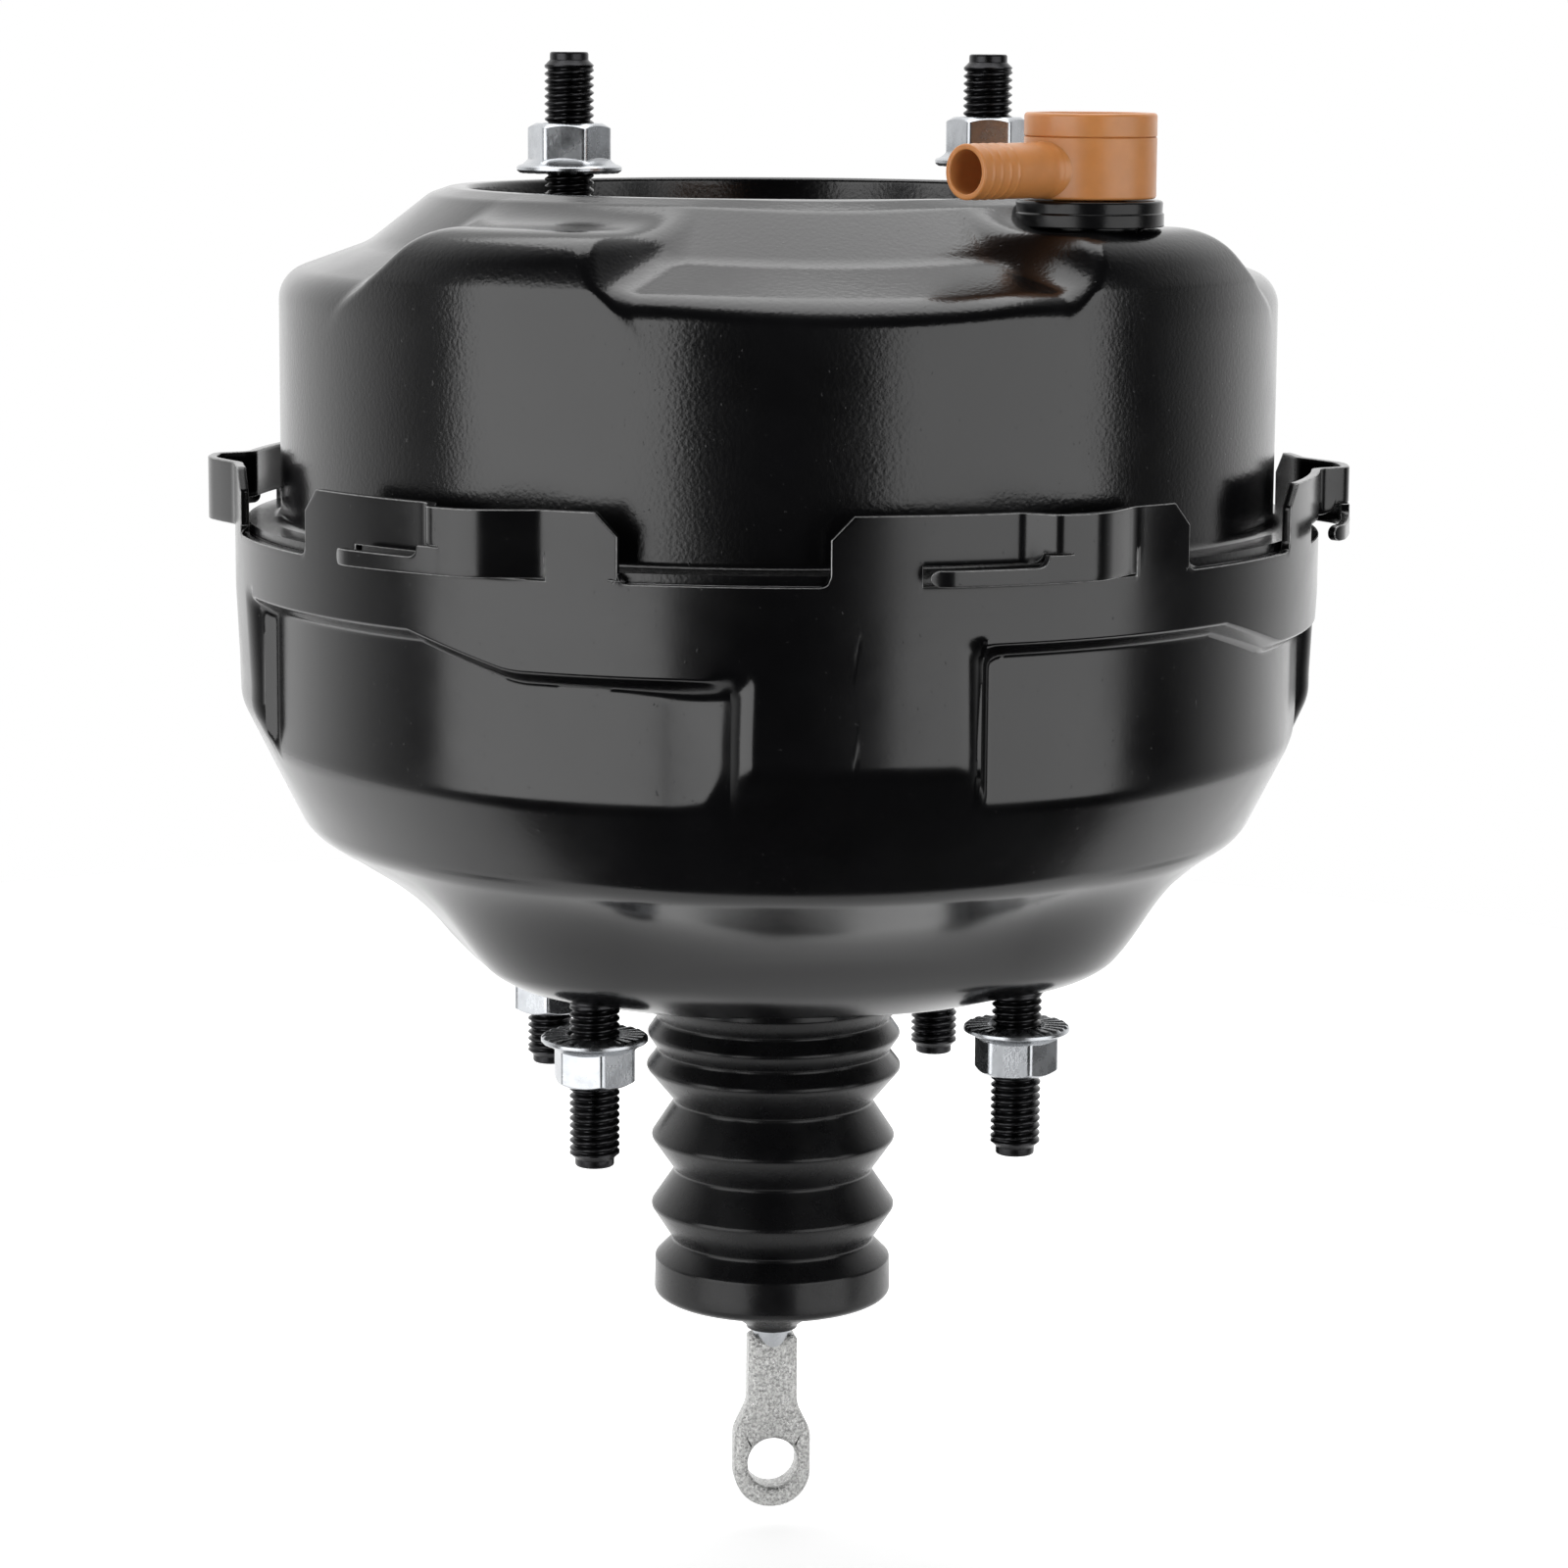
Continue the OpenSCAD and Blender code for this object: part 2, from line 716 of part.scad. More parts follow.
module divider() color([0.6, 0.6, 0.62]) {
    floor_z = divider_z + disc_t;
    rotate_extrude()
        polygon(sheet(rounded([
            [flange_r, joint_z, 0],
            [divider_wall_r - disc_t, joint_z, 2.4],
            [divider_wall_r - disc_t, floor_z, 3],
            [divider_neck_r, floor_z, 1.5],
            [divider_neck_r, floor_z + 4, 0]
        ]), disc_t));
}

// A ring seal with a groove between its two lips
module lip_seal(r_out, r_in, z0, z1) {
    mid = (r_out + r_in) / 2;
    difference() {
        ring(r_out, r_in, z0, z1);
        ring(mid + 0.5, mid - 0.5, (z0 + z1) / 2, z1 + 1);
    }
}

module divider_seal() color([0.1, 0.1, 0.1]) {
    lip_seal(divider_neck_r - disc_t - fit_gap, piston_neck_r + run_gap,
             divider_z - 1.5, divider_z + disc_t + 4);
}

module front_seal() color([0.1, 0.1, 0.1]) {
    ring(front_hole_r + 3.5, output_rod_r + run_gap, master_plate_z, dish_under_z);
    ring(front_hole_r - fit_gap, output_rod_r + run_gap, dish_under_z - eps, dish_z - free_gap);
}

module front_seal_retainer() color([0.6, 0.6, 0.62]) {
    ring(front_hole_r + 8, output_rod_r + 2, master_plate_z - 1.5, master_plate_z);
}

module rear_bearing() color([0.85, 0.84, 0.78]) {
    ring(neck_in_r - fit_gap, tail_r + run_gap, 0.5 - neck_h, -2.4);
}

module rear_seal() color([0.1, 0.1, 0.1]) {
    lip_seal(neck_in_r - fit_gap, tail_r + run_gap, -2.4, sheet_t - 0.1);
}

module rear_seal_ring() color([0.6, 0.6, 0.62]) {
    ring(neck_r + 3, tail_r + 0.7, sheet_t, sheet_t + 1);
}

module valve_grommet() color([0.08, 0.08, 0.09]) {
    under_z = pad_z - sheet_t;
    translate([valve_x, valve_y, 0])
        rotate_extrude()
            polygon([
                [valve_neck_r + run_gap, under_z - 3], [grommet_neck_r + 1.6, under_z - 3],
                [grommet_neck_r + 2.4, under_z], [grommet_neck_r, under_z],
                [grommet_neck_r, pad_z], [grommet_r, pad_z], [grommet_r, pad_z + grommet_h - 0.5],
                [grommet_r - 0.5, pad_z + grommet_h], [valve_neck_r + run_gap, pad_z + grommet_h]
            ]);
}

// Outer surface of the primary diaphragm, from the piston out to the bead
module primary_diaphragm() color([0.13, 0.13, 0.13]) {
    wall_r = primary_wall_r;
    rotate_extrude()
        polygon(sheet(rounded([
            [piston_neck_r + 0.1, flange_top_z, 0],
            [primary_bend_r + 0.3, flange_top_z, 12],
            [primary_plate_r + 1.5, primary_rim_z - 1.6, 3],
            [primary_plate_r + 7.5, primary_rim_z + 5, 6],
            [wall_r - 2.4, primary_rim_z + 15, 8],
            [wall_r, primary_rim_z + 24, 6],
            [wall_r, bead_z + 1, 0]
        ]), rubber_t));
    ring(flange_r - 0.2, wall_r - rubber_t, bead_z, joint_z - disc_t - 0.1);
}

module primary_plate() color([0.7, 0.7, 0.72]) {
    rotate_extrude()
        polygon(sheet(rounded([
            [piston_neck_r + fit_gap, primary_z, 0],
            [primary_bend_r, primary_z, 12],
            [primary_plate_r, primary_rim_z, 2.4],
            [primary_plate_r, primary_rim_z + plate_lip_h, 0]
        ]), disc_t));
}

module primary_ring() color([0.6, 0.6, 0.62]) {
    ring(piston_flange_r + 1, piston_neck_r + fit_gap, primary_z + disc_t, primary_z + disc_t + 2.5);
}

module secondary_diaphragm() color([0.13, 0.13, 0.13]) {
    rotate_extrude()
        polygon(sheet(rounded([
            [piston_step_r + 0.1, piston_step_z, 0],
            [secondary_bend_r + 0.3, piston_step_z, 12],
            [secondary_plate_r + 1.4, secondary_rim_z - 1.2, 3],
            [divider_wall_r - disc_t - 1.5, joint_z + 0.4, 3],
            [front_in_r - 1.5, joint_z + 0.4, 0]
        ]), rubber_t));
    ring(front_in_r - fit_gap, front_in_r - 4, joint_z + 0.4, joint_z + 5);
}

module secondary_plate() color([0.7, 0.7, 0.72]) {
    rotate_extrude()
        polygon(sheet(rounded([
            [piston_step_r + fit_gap, secondary_z, 0],
            [secondary_bend_r, secondary_z, 12],
            [secondary_plate_r, secondary_rim_z, 2.4],
            [secondary_plate_r, secondary_rim_z + 4.5, 0]
        ]), disc_t));
}

module spring_seat() color([0.62, 0.62, 0.64]) {
    lip_r = return_spring_r + 4.5;
    rotate_extrude()
        polygon(sheet(rounded([
            [piston_step_r + fit_gap, seat_ring_z, 0],
            [lip_r, seat_ring_z, 2.4],
            [lip_r, seat_ring_z + 4, 0]
        ]), disc_t));
}

module lock_ring() color([0.75, 0.76, 0.78]) {
    ring(piston_step_r + 3.5, piston_step_r + fit_gap,
         seat_ring_z + disc_t, seat_ring_z + disc_t + lock_ring_t);
}

module return_spring() color([0.45, 0.46, 0.48]) {
    coil(return_spring_r, return_wire, seat_ring_z + disc_t + 0.1, master_plate_z - 0.1, return_turns);
}

module power_piston() color([0.16, 0.15, 0.14]) {
    difference() {
        rotate_extrude()
            polygon([
                [tail_bore_r, -tail_depth], [tail_r, -tail_depth], [tail_r, flange_z],
                [piston_flange_r, flange_z], [piston_flange_r, flange_top_z],
                [piston_neck_r, flange_top_z], [piston_neck_r, piston_step_z],
                [piston_step_r, piston_step_z], [piston_step_r, piston_front_z],
                [tail_bore_r, piston_front_z], [tail_bore_r, disc_pocket_z + 12],
                [disc_pocket_r, disc_pocket_z + 12], [disc_pocket_r, disc_pocket_z],
                [plunger_r + run_gap, disc_pocket_z], [plunger_r + run_gap, web_z],
                [seat_lip_r - 1.5, web_z], [seat_lip_r - 1.2, seat_z], [seat_lip_r - 0.4, seat_z],
                [seat_lip_r, web_z], [tail_bore_r, web_z]
            ]);
        for (a = [45 : 90 : 315])
            rotate([0, 0, a])
                translate([port_dist, 0, web_z - 1])
                    cylinder(h = disc_pocket_z - web_z + 20, r = port_r);
        translate([-key_w / 2 - 0.2, -piston_flange_r - 1, key_z - free_gap])
            cube([key_w + 0.4, piston_flange_r + 1 + key_back, key_t + valve_travel + 2 * free_gap]);
    }
}

module plunger() color([0.78, 0.79, 0.8]) {
    difference() {
        rotate_extrude()
            polygon([
                [0, plunger_rear_z], [plunger_flange_r, plunger_rear_z],
                [plunger_flange_r, plunger_rear_z + 1.5], [plunger_r, plunger_rear_z + 1.5],
                [plunger_r, key_z - fit_gap], [groove_r, key_z - fit_gap],
                [groove_r, key_z + key_t + fit_gap], [plunger_r, key_z + key_t + fit_gap],
                [plunger_r, plunger_front_z - 0.5], [plunger_r - 0.5, plunger_front_z],
                [0, plunger_front_z]
            ]);
        translate([0, 0, ball_z])
            sphere(ball_r + ball_gap);
        translate([0, 0, plunger_rear_z - 1])
            cylinder(h = ball_z - plunger_rear_z, r = ball_r - 0.3);
    }
}

// The forked key that stops the plunger in the power piston
module stop_key() color([0.7, 0.71, 0.73]) {
    translate([0, 0, key_z])
        linear_extrude(key_t)
            difference() {
                translate([-key_w / 2, 2 - piston_flange_r])
                    square([key_w, piston_flange_r - 2 + key_back - 1]);
                circle(groove_r + 0.1);
                translate([-groove_r - 0.1, 0])
                    square([2 * groove_r + 0.2, key_back + 1]);
            }
}

module poppet() color([0.12, 0.12, 0.12]) {
    ring(seat_lip_r + 1, rod_thin_r + 2, poppet_face_z - 2.2, poppet_face_z);
    ring(seat_lip_r - 1, seat_lip_r - 2.4, poppet_face_z - poppet_len, poppet_face_z - 2.2 + eps);
}

module poppet_retainer() color([0.72, 0.73, 0.75]) {
    rotate_extrude()
        polygon([
            [rod_thin_r + 3.5, retainer_z], [tail_bore_r - fit_gap, retainer_z],
            [tail_bore_r - fit_gap, retainer_z + retainer_h], [tail_bore_r - 1.4, retainer_z + retainer_h],
            [tail_bore_r - 1.4, retainer_z + 1.5], [rod_thin_r + 3.5, retainer_z + 1.5]
        ]);
}

module poppet_spring() color([0.5, 0.5, 0.52]) {
    coil(seat_lip_r + 0.4, 0.9, retainer_z + 1.6, poppet_face_z - 2.3, 5, 16, 6);
}

module rod_spring() color([0.5, 0.5, 0.52]) {
    coil(9, 1.6, rod_seat_z + collar_t + 0.1, retainer_z - 0.1, 4, 16, 6);
}

module rod_collar() color([0.75, 0.76, 0.78]) {
    ring(11, rod_thin_r + fit_gap, rod_seat_z, rod_seat_z + collar_t);
}

module silencer() color([0.3, 0.3, 0.3]) {
    ring(tail_bore_r - fit_gap, filter_in_r, filter_top_z, filter_top_z + 1.6);
}

module air_filter() color([0.85, 0.83, 0.75]) {
    ring(tail_bore_r - fit_gap, filter_in_r, 0.2 - tail_depth, filter_top_z);
}

module reaction_disc() color([0.1, 0.1, 0.1]) {
    translate([0, 0, disc_pocket_z])
        cylinder(h = reaction_t, r = disc_pocket_r - fit_gap);
}

module output_rod() color([0.75, 0.76, 0.78]) {
    base_z = disc_pocket_z + reaction_t;
    difference() {
        union() {
            translate([0, 0, base_z])
                cylinder(h = 3.5, r = disc_pocket_r - fit_gap);
            translate([0, 0, base_z])
                cylinder(h = output_rod_end_z - base_z, r = output_rod_r);
        }
        translate([0, 0, output_rod_end_z - screw_len])
            cylinder(h = screw_len + 1, r = screw_r + fit_gap);
    }
}

module adjusting_screw() color([0.8, 0.82, 0.84]) {
    head_z = output_rod_end_z;
    translate([0, 0, head_z - screw_len + 1])
        cylinder(h = screw_len, r = screw_r);
    translate([0, 0, head_z])
        cylinder(h = 2.6, r = output_rod_r - 0.9, $fn = 6);
    translate([0, 0, head_z + 2.6])
        cylinder(h = 1.4, r1 = output_rod_r - 1.8, r2 = output_rod_r - 3);
}

// The eye's outline, in X and Z
function eye_outline() =
    let (w = eye_half_w,
         s = shank_half_w,
         bottom = -eye_depth - 9.7,
         side = [[-s, eye_top_z, 1.2], [-s, -eye_depth + 12, 5], [-w, -eye_depth + 7, 5],
                 [-w, bottom, w - 0.2]],
         back = [for (i = [len(side) - 1 : -1 : 0]) [-side[i][0], side[i][1], side[i][2]]])
    rounded(concat([[0, eye_top_z, 0]], side, back, [[0, eye_top_z, 0]]), 5);

module input_rod() color([0.72, 0.73, 0.74]) {
    difference() {
        union() {
            translate([0, 0, ball_z])
                sphere(ball_r);
            rotate_extrude()
                polygon([
                    [0, ball_z], [rod_neck_r, ball_z], [rod_neck_r, ball_z - 9],
                    [rod_thin_r, ball_z - 11.5], [rod_thin_r, rod_seat_z], [rod_r, rod_seat_z],
                    [rod_r, eye_top_z - 3], [0, eye_top_z - 3]
                ]);
            rotate([90, 0, 0])
                linear_extrude(eye_t, center = true)
                    polygon(eye_outline());
        }
        translate([0, 0, -eye_depth])
            rotate([90, 0, 0])
                cylinder(h = eye_t + 2, r = eye_bore_r, center = true);
    }
}

// Outer surface of the boot, from the rod up to the collar
boot_knots = concat(
    [[boot_lip_r, eye_top_z, 0],
     [boot_lip_r, eye_top_z + 2.4, 1],
     [boot_ring_r - 1.2, -tail_depth - 7.2, 1.8],
     [boot_ring_r, -tail_depth - 5.4, 1.8],
     [boot_ring_r, 3.6 - tail_depth, 2.4]],
    [for (i = [0 : long_folds - 1]) each
        [[fold_in_r, first_valley_z + i * fold_pitch, 1.2],
         [fold_out_r, first_valley_z + (i + 0.5) * fold_pitch, 2]]],
    [for (i = [0 : short_folds - 1]) each
        let (crest_z = collar_fold_z - (short_folds - i - 1) * short_pitch,
             crest_r = boot_collar_r - (i < short_folds - 1 ? 0.6 : 0))
        [[boot_collar_r - short_depth - 0.6, crest_z - short_pitch / 2, 1], [crest_r, crest_z, 2]]],
    [[boot_collar_r, boot_top_z, 0]]
);

module boot() color([0.07, 0.07, 0.08]) {
    rotate_extrude()
        polygon(sheet(rounded(boot_knots, 3), boot_t));
    ring(boot_collar_r - 0.5, neck_r + fit_gap, -neck_h, boot_top_z);
    ring(boot_ring_r - 0.5, tail_r + free_gap, -tail_depth, 3 - tail_depth);
}

module valve_body() color([0.8, 0.52, 0.28]) {
    translate([valve_x, valve_y, 0])
        difference() {
            union() {
                translate([0, 0, valve_foot_z])
                    cylinder(h = valve_seam_z - valve_foot_z, r = valve_r);
                translate([0, 0, nozzle_z])
                    rotate([0, 90, nozzle_angle])
                        union() {
                            cylinder(h = nozzle_len, r = nozzle_r);
                            cylinder(h = nozzle_root, r1 = nozzle_r + root_flare, r2 = nozzle_r);
                        }
                translate([0, 0, valve_barb_z])
                    cylinder(h = valve_foot_z - valve_barb_z + eps, r = valve_neck_r);
                translate([0, 0, valve_barb_z - 2.4])
                    cylinder(h = 2.4, r1 = valve_neck_r - 0.8, r2 = valve_neck_r + 1);
            }
            translate([0, 0, valve_floor_z])
                cylinder(h = 20, r = valve_r - valve_wall);
            translate([0, 0, valve_barb_z - 5])
                cylinder(h = 20, r = nozzle_bore_r);
            translate([0, 0, nozzle_z])
                rotate([0, 90, nozzle_angle])
                    translate([0, 0, valve_r - valve_wall - 2])
                        cylinder(h = nozzle_len, r = nozzle_bore_r);
        }
}

module valve_cap() color([0.82, 0.54, 0.3]) {
    translate([valve_x, valve_y, 0])
        difference() {
            union() {
                translate([0, 0, valve_seam_z])
                    cylinder(h = valve_cap_h, r = valve_r);
                translate([0, 0, valve_seam_z - 1.8])
                    cylinder(h = 1.8 + eps, r = valve_r - valve_wall - fit_gap);
            }
            translate([0, 0, valve_top_z - 1.5])
                cylinder(h = 2, r = valve_r - 2.2);
        }
}

module valve_spring() color([0.6, 0.6, 0.62]) {
    translate([valve_x, valve_y, 0])
        coil(4.5, 0.7, valve_floor_z + free_gap + 1.6, valve_seam_z - 1.9, 4, 12, 6);
}

module valve_disc() color([0.12, 0.12, 0.12]) {
    translate([valve_x, valve_y, valve_floor_z + free_gap])
        cylinder(h = 1.5, r = valve_r - valve_wall - 1.2);
}

rear_shell();
front_shell();
firewall_stud_plate();
firewall_studs();
firewall_nuts();
master_stud_plate();
master_studs();
master_nuts();
divider();
divider_seal();
front_seal();
front_seal_retainer();
rear_bearing();
rear_seal();
rear_seal_ring();
valve_grommet();
primary_diaphragm();
secondary_diaphragm();
return_spring();
boot();
power_piston();
primary_plate();
primary_ring();
secondary_plate();
spring_seat();
lock_ring();
reaction_disc();
output_rod();
adjusting_screw();
poppet_retainer();
air_filter();
silencer();
plunger();
stop_key();
poppet();
poppet_spring();
rod_spring();
rod_collar();
input_rod();
valve_body();
valve_cap();
valve_spring();
valve_disc();
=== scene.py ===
"""Looks of the brake booster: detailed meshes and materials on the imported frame."""

import math

import bpy
import numpy as np
from mathutils import Matrix, Vector


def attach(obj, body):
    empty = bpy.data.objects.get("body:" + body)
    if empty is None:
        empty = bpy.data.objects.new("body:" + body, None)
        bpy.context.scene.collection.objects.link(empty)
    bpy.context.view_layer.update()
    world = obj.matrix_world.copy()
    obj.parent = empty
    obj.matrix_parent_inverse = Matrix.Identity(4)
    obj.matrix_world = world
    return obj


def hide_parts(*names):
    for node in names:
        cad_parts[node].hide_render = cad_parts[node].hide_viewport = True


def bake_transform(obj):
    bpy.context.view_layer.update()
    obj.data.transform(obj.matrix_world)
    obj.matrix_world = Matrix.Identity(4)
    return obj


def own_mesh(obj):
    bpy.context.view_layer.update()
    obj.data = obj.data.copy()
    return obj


MM = 0.001
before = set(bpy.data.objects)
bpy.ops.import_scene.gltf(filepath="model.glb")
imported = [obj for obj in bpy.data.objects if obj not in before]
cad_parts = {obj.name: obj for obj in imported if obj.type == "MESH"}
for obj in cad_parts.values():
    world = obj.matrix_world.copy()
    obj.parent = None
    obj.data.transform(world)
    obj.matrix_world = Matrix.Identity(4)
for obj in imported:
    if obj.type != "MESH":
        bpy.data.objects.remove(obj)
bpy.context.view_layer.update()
scene = bpy.context.scene

# ---------------------------------------------------------------- geometry helpers


def smooth_min(a, b, k):
    """The lower of two values, with the crease between them rounded over k."""
    h = np.clip(0.5 + 0.5 * (b - a) / k, 0.0, 1.0)
    return b * (1 - h) + a * h - k * h * (1 - h)


def smooth_max(a, b, k):
    """The higher of two values, with the crease between them rounded over k."""
    return -smooth_min(-a, -b, k)


def step(x, lo, hi):
    """0 below lo, 1 above hi, smooth between."""
    t = np.clip((x - lo) / (hi - lo), 0.0, 1.0)
    return t * t * (3 - 2 * t)


def rounded(knots, n=8):
    """A 2-D path through knots (x, y, radius), with its corners rounded."""
    pts = []
    for i, k in enumerate(knots):
        b = np.array(k[:2], float)
        if i in (0, len(knots) - 1) or not k[2]:
            pts.append(b)
            continue
        u = np.array(knots[i - 1][:2], float) - b
        v = np.array(knots[i + 1][:2], float) - b
        u, v = u / np.linalg.norm(u), v / np.linalg.norm(v)
        half = math.acos(np.clip(u @ v, -1, 1)) / 2
        centre = b + (u + v) / np.linalg.norm(u + v) * k[2] / math.sin(half)
        s, e = b + u * k[2] / math.tan(half) - centre, b + v * k[2] / math.tan(half) - centre
        sweep = math.atan2(s[0] * e[1] - s[1] * e[0], s @ e)
        first = math.atan2(s[1], s[0])
        for j in range(n + 1):
            a = first + sweep * j / n
            pts.append(centre + k[2] * np.array([math.cos(a), math.sin(a)]))
    return np.array(pts)


def resample(path, spacing):
    """The path's points again, no further apart than spacing."""
    out = [path[0]]
    for a, b in zip(path[:-1], path[1:]):
        d = np.linalg.norm(b - a)
        if d < 1e-9:
            continue
        gap = spacing(*((a + b) / 2)) if callable(spacing) else spacing
        n = max(1, math.ceil(d / gap))
        out += [a + (b - a) * j / n for j in range(1, n + 1)]
    return np.array(out)


def offset(path, t):
    """The path moved by t to the left of its direction."""
    d = np.diff(path, axis=0)
    d /= np.linalg.norm(d, axis=1)[:, None]
    n = np.stack([-d[:, 1], d[:, 0]], 1)
    before, after = np.vstack([n[:1], n]), np.vstack([n, n[-1:]])
    return path + t * (before + after) / (1 + (before * after).sum(1))[:, None]


def polar(r, az, z):
    """Points at radius r and azimuth az in degrees, from the -Y side towards +X."""
    a = np.radians(az)
    return np.stack(np.broadcast_arrays(r * np.sin(a), -r * np.cos(a), z), -1)


def grid(p, wrap=False, flip=False, mask=None):
    """(vertices, faces) of a grid of points p[column, row]."""
    nu, nv = p.shape[:2]
    cols = np.arange(nu if wrap else nu - 1)
    u, v = np.meshgrid(cols, np.arange(nv - 1), indexing="ij")
    if mask is not None:
        keep = mask.astype(bool)
        u, v = u[keep], v[keep]
    u, v = u.ravel(), v.ravel()
    w = (u + 1) % nu
    f = np.stack([u * nv + v, w * nv + v, w * nv + v + 1, u * nv + v + 1], 1)
    return p.reshape(-1, 3), (f[:, ::-1] if flip else f)


def fan(ring, centre):
    """(vertices, faces) of a cap over a closed ring of points."""
    n = len(ring)
    i = np.arange(n)
    f = np.stack([i, (i + 1) % n, np.full(n, n), np.full(n, n)], 1)
    return np.vstack([ring, centre]), f


def join(*parts):
    """One (vertices, faces) of several."""
    verts, faces, base = [], [], 0
    for v, f in parts:
        verts.append(v)
        faces.append(f + base)
        base += len(v)
    return np.vstack(verts), np.vstack(faces)


def lathe(path, n=96, centre=(0, 0), flip=False):
    """A surface of revolution of a path of (r, z). The path runs with its outside on the right."""
    az = np.arange(n) * 360 / n
    p = polar(path[None, :, 0], az[:, None], path[None, :, 1])
    p[..., 0] += centre[0]
    p[..., 1] += centre[1]
    return grid(p, wrap=True, flip=flip)


def merged(v, f, tol=1e-3):
    """Vertices that lie on each other made one, and faces that collapse dropped."""
    key = np.round(v / tol).astype(np.int64)
    _, first, back = np.unique(key, axis=0, return_index=True, return_inverse=True)
    return v[first], back.ravel()[f]


def piece(name, geometry, body, material, nodes=(), sharp=32, weld=True):
    """An object of a (vertices, faces) mesh in millimetres, riding on a body."""
    v, f = merged(*geometry) if weld else geometry
    faces = []
    for q in f.tolist():
        q = [a for i, a in enumerate(q) if a != q[i - 1]]
        if len(q) > 2 and len(set(q)) == len(q):
            faces.append(q)
    mesh = bpy.data.meshes.new(name)
    mesh.from_pydata((v * MM).tolist(), [], faces)
    mesh.shade_smooth()
    mesh.set_sharp_from_angle(angle=math.radians(sharp))
    mesh.materials.append(material)
    ob = bpy.data.objects.new(name, mesh)
    scene.collection.objects.link(ob)
    if body:
        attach(ob, body)
    if nodes:
        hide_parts(*nodes)
    return ob


# ---------------------------------------------------------------- materials


class Shader:
    """A node material being built. Its texture space is the object's own, in metres."""

    def __init__(self, name, **inputs):
        self.mat = bpy.data.materials.new(name)
        self.mat.use_nodes = True
        self.nt = self.mat.node_tree
        self.bsdf = self.nt.nodes["Principled BSDF"]
        self.coord = self.nt.nodes.new("ShaderNodeTexCoord").outputs["Object"]
        for k, v in inputs.items():
            self.set(k.replace("_", " "), v)

    def set(self, socket, value):
        self.bsdf.inputs[socket].default_value = value

    def node(self, kind):
        return self.nt.nodes.new(kind)

    def link(self, a, b):
        self.nt.links.new(a, b)

    def noise(self, size, detail=2.0, rough=0.5, distortion=0.0):
        """Noise whose features are about size metres across."""
        n = self.node("ShaderNodeTexNoise")
        n.inputs["Scale"].default_value = 1 / size
        n.inputs["Detail"].default_value = detail
        n.inputs["Roughness"].default_value = rough
        n.inputs["Distortion"].default_value = distortion
        self.link(self.coord, n.inputs["Vector"])
        return n.outputs["Fac"]

    def span(self, fac, lo, hi, a, b):
        """fac from lo to hi mapped to a to b."""
        n = self.node("ShaderNodeMapRange")
        for k, v in zip(("From Min", "From Max", "To Min", "To Max"), (lo, hi, a, b)):
            n.inputs[k].default_value = v
        self.link(fac, n.inputs["Value"])
        return n.outputs["Result"]

    def tones(self, fac, stops):
        """fac turned into a colour, by stops of (position, colour)."""
        n = self.node("ShaderNodeValToRGB")
        ramp = n.color_ramp
        while len(ramp.elements) < len(stops):
            ramp.elements.new(0.5)
        for e, (pos, col) in zip(ramp.elements, stops):
            e.position = pos
            e.color = (*col, 1)
        self.link(fac, n.inputs["Fac"])
        return n.outputs["Color"]

    def bump(self, height, distance):
        """Adds a bump layer, with its height in metres, over those already there."""
        n = self.node("ShaderNodeBump")
        n.inputs["Strength"].default_value = 1.0
        n.inputs["Distance"].default_value = distance
        self.link(height, n.inputs["Height"])
        before = self.bsdf.inputs["Normal"].links
        if before:
            self.link(before[0].from_socket, n.inputs["Normal"])
        self.link(n.outputs["Normal"], self.bsdf.inputs["Normal"])

    def color(self, out):
        self.link(out, self.bsdf.inputs["Base Color"])

    def rough(self, out):
        self.link(out, self.bsdf.inputs["Roughness"])


def paint(name, peel, rough_lo, rough_hi):
    """Gloss black paint over pressed steel, with peel metres of orange peel."""
    s = Shader(name, Metallic=0.0, Specular_IOR_Level=0.5, IOR=1.5)
    deep, worn = (0.0022, 0.0022, 0.0025), (0.0036, 0.0036, 0.0042)
    s.color(s.tones(s.noise(0.02, 4), [(0.35, deep), (0.7, worn)]))
    haze = s.noise(0.03, 5, 0.6, 0.4)
    s.rough(s.span(haze, 0.35, 0.7, rough_lo, rough_hi))
    s.bump(s.noise(0.0008, 1.5, 0.45), peel)
    s.bump(s.noise(0.012, 2), 0.00001)
    dust = s.span(s.noise(0.0009, 1), 0.74, 0.8, 0.0, 1.0)
    s.bump(dust, 0.00002)
    return s.mat


def metal(name, colour, rough, grain=0.0004, depth=0.00001, spread=0.1, mottling=0.004):
    """A metal finish with a fine grain in its bump and a mottled shine."""
    s = Shader(name, Metallic=1.0)
    dark = tuple(c * (1 - spread) for c in colour)
    s.color(s.tones(s.noise(mottling, 4, 0.6), [(0.35, dark), (0.65, colour)]))
    s.rough(s.span(s.noise(mottling * 1.7, 4, 0.6), 0.3, 0.7, rough * 0.75, rough * 1.25))
    s.bump(s.noise(grain, 3, 0.6), depth)
    return s.mat


def plastic(name, colour, rough, subsurface=0.0, grain=0.0006, depth=0.00001, spread=0.12):
    """A moulded plastic with a fine grain, and light that enters it where subsurface is given."""
    s = Shader(name, Metallic=0.0, IOR=1.5, Subsurface_Weight=subsurface, Subsurface_Scale=0.002)
    if subsurface:
        s.set("Subsurface Radius", (1.0, 0.45, 0.2))
    dark = tuple(c * (1 - spread) for c in colour)
    s.color(s.tones(s.noise(0.006, 4, 0.6), [(0.3, dark), (0.7, colour)]))
    s.rough(s.span(s.noise(0.004, 3), 0.3, 0.7, rough * 0.85, rough * 1.2))
    s.bump(s.noise(grain, 3, 0.6), depth)
    return s.mat


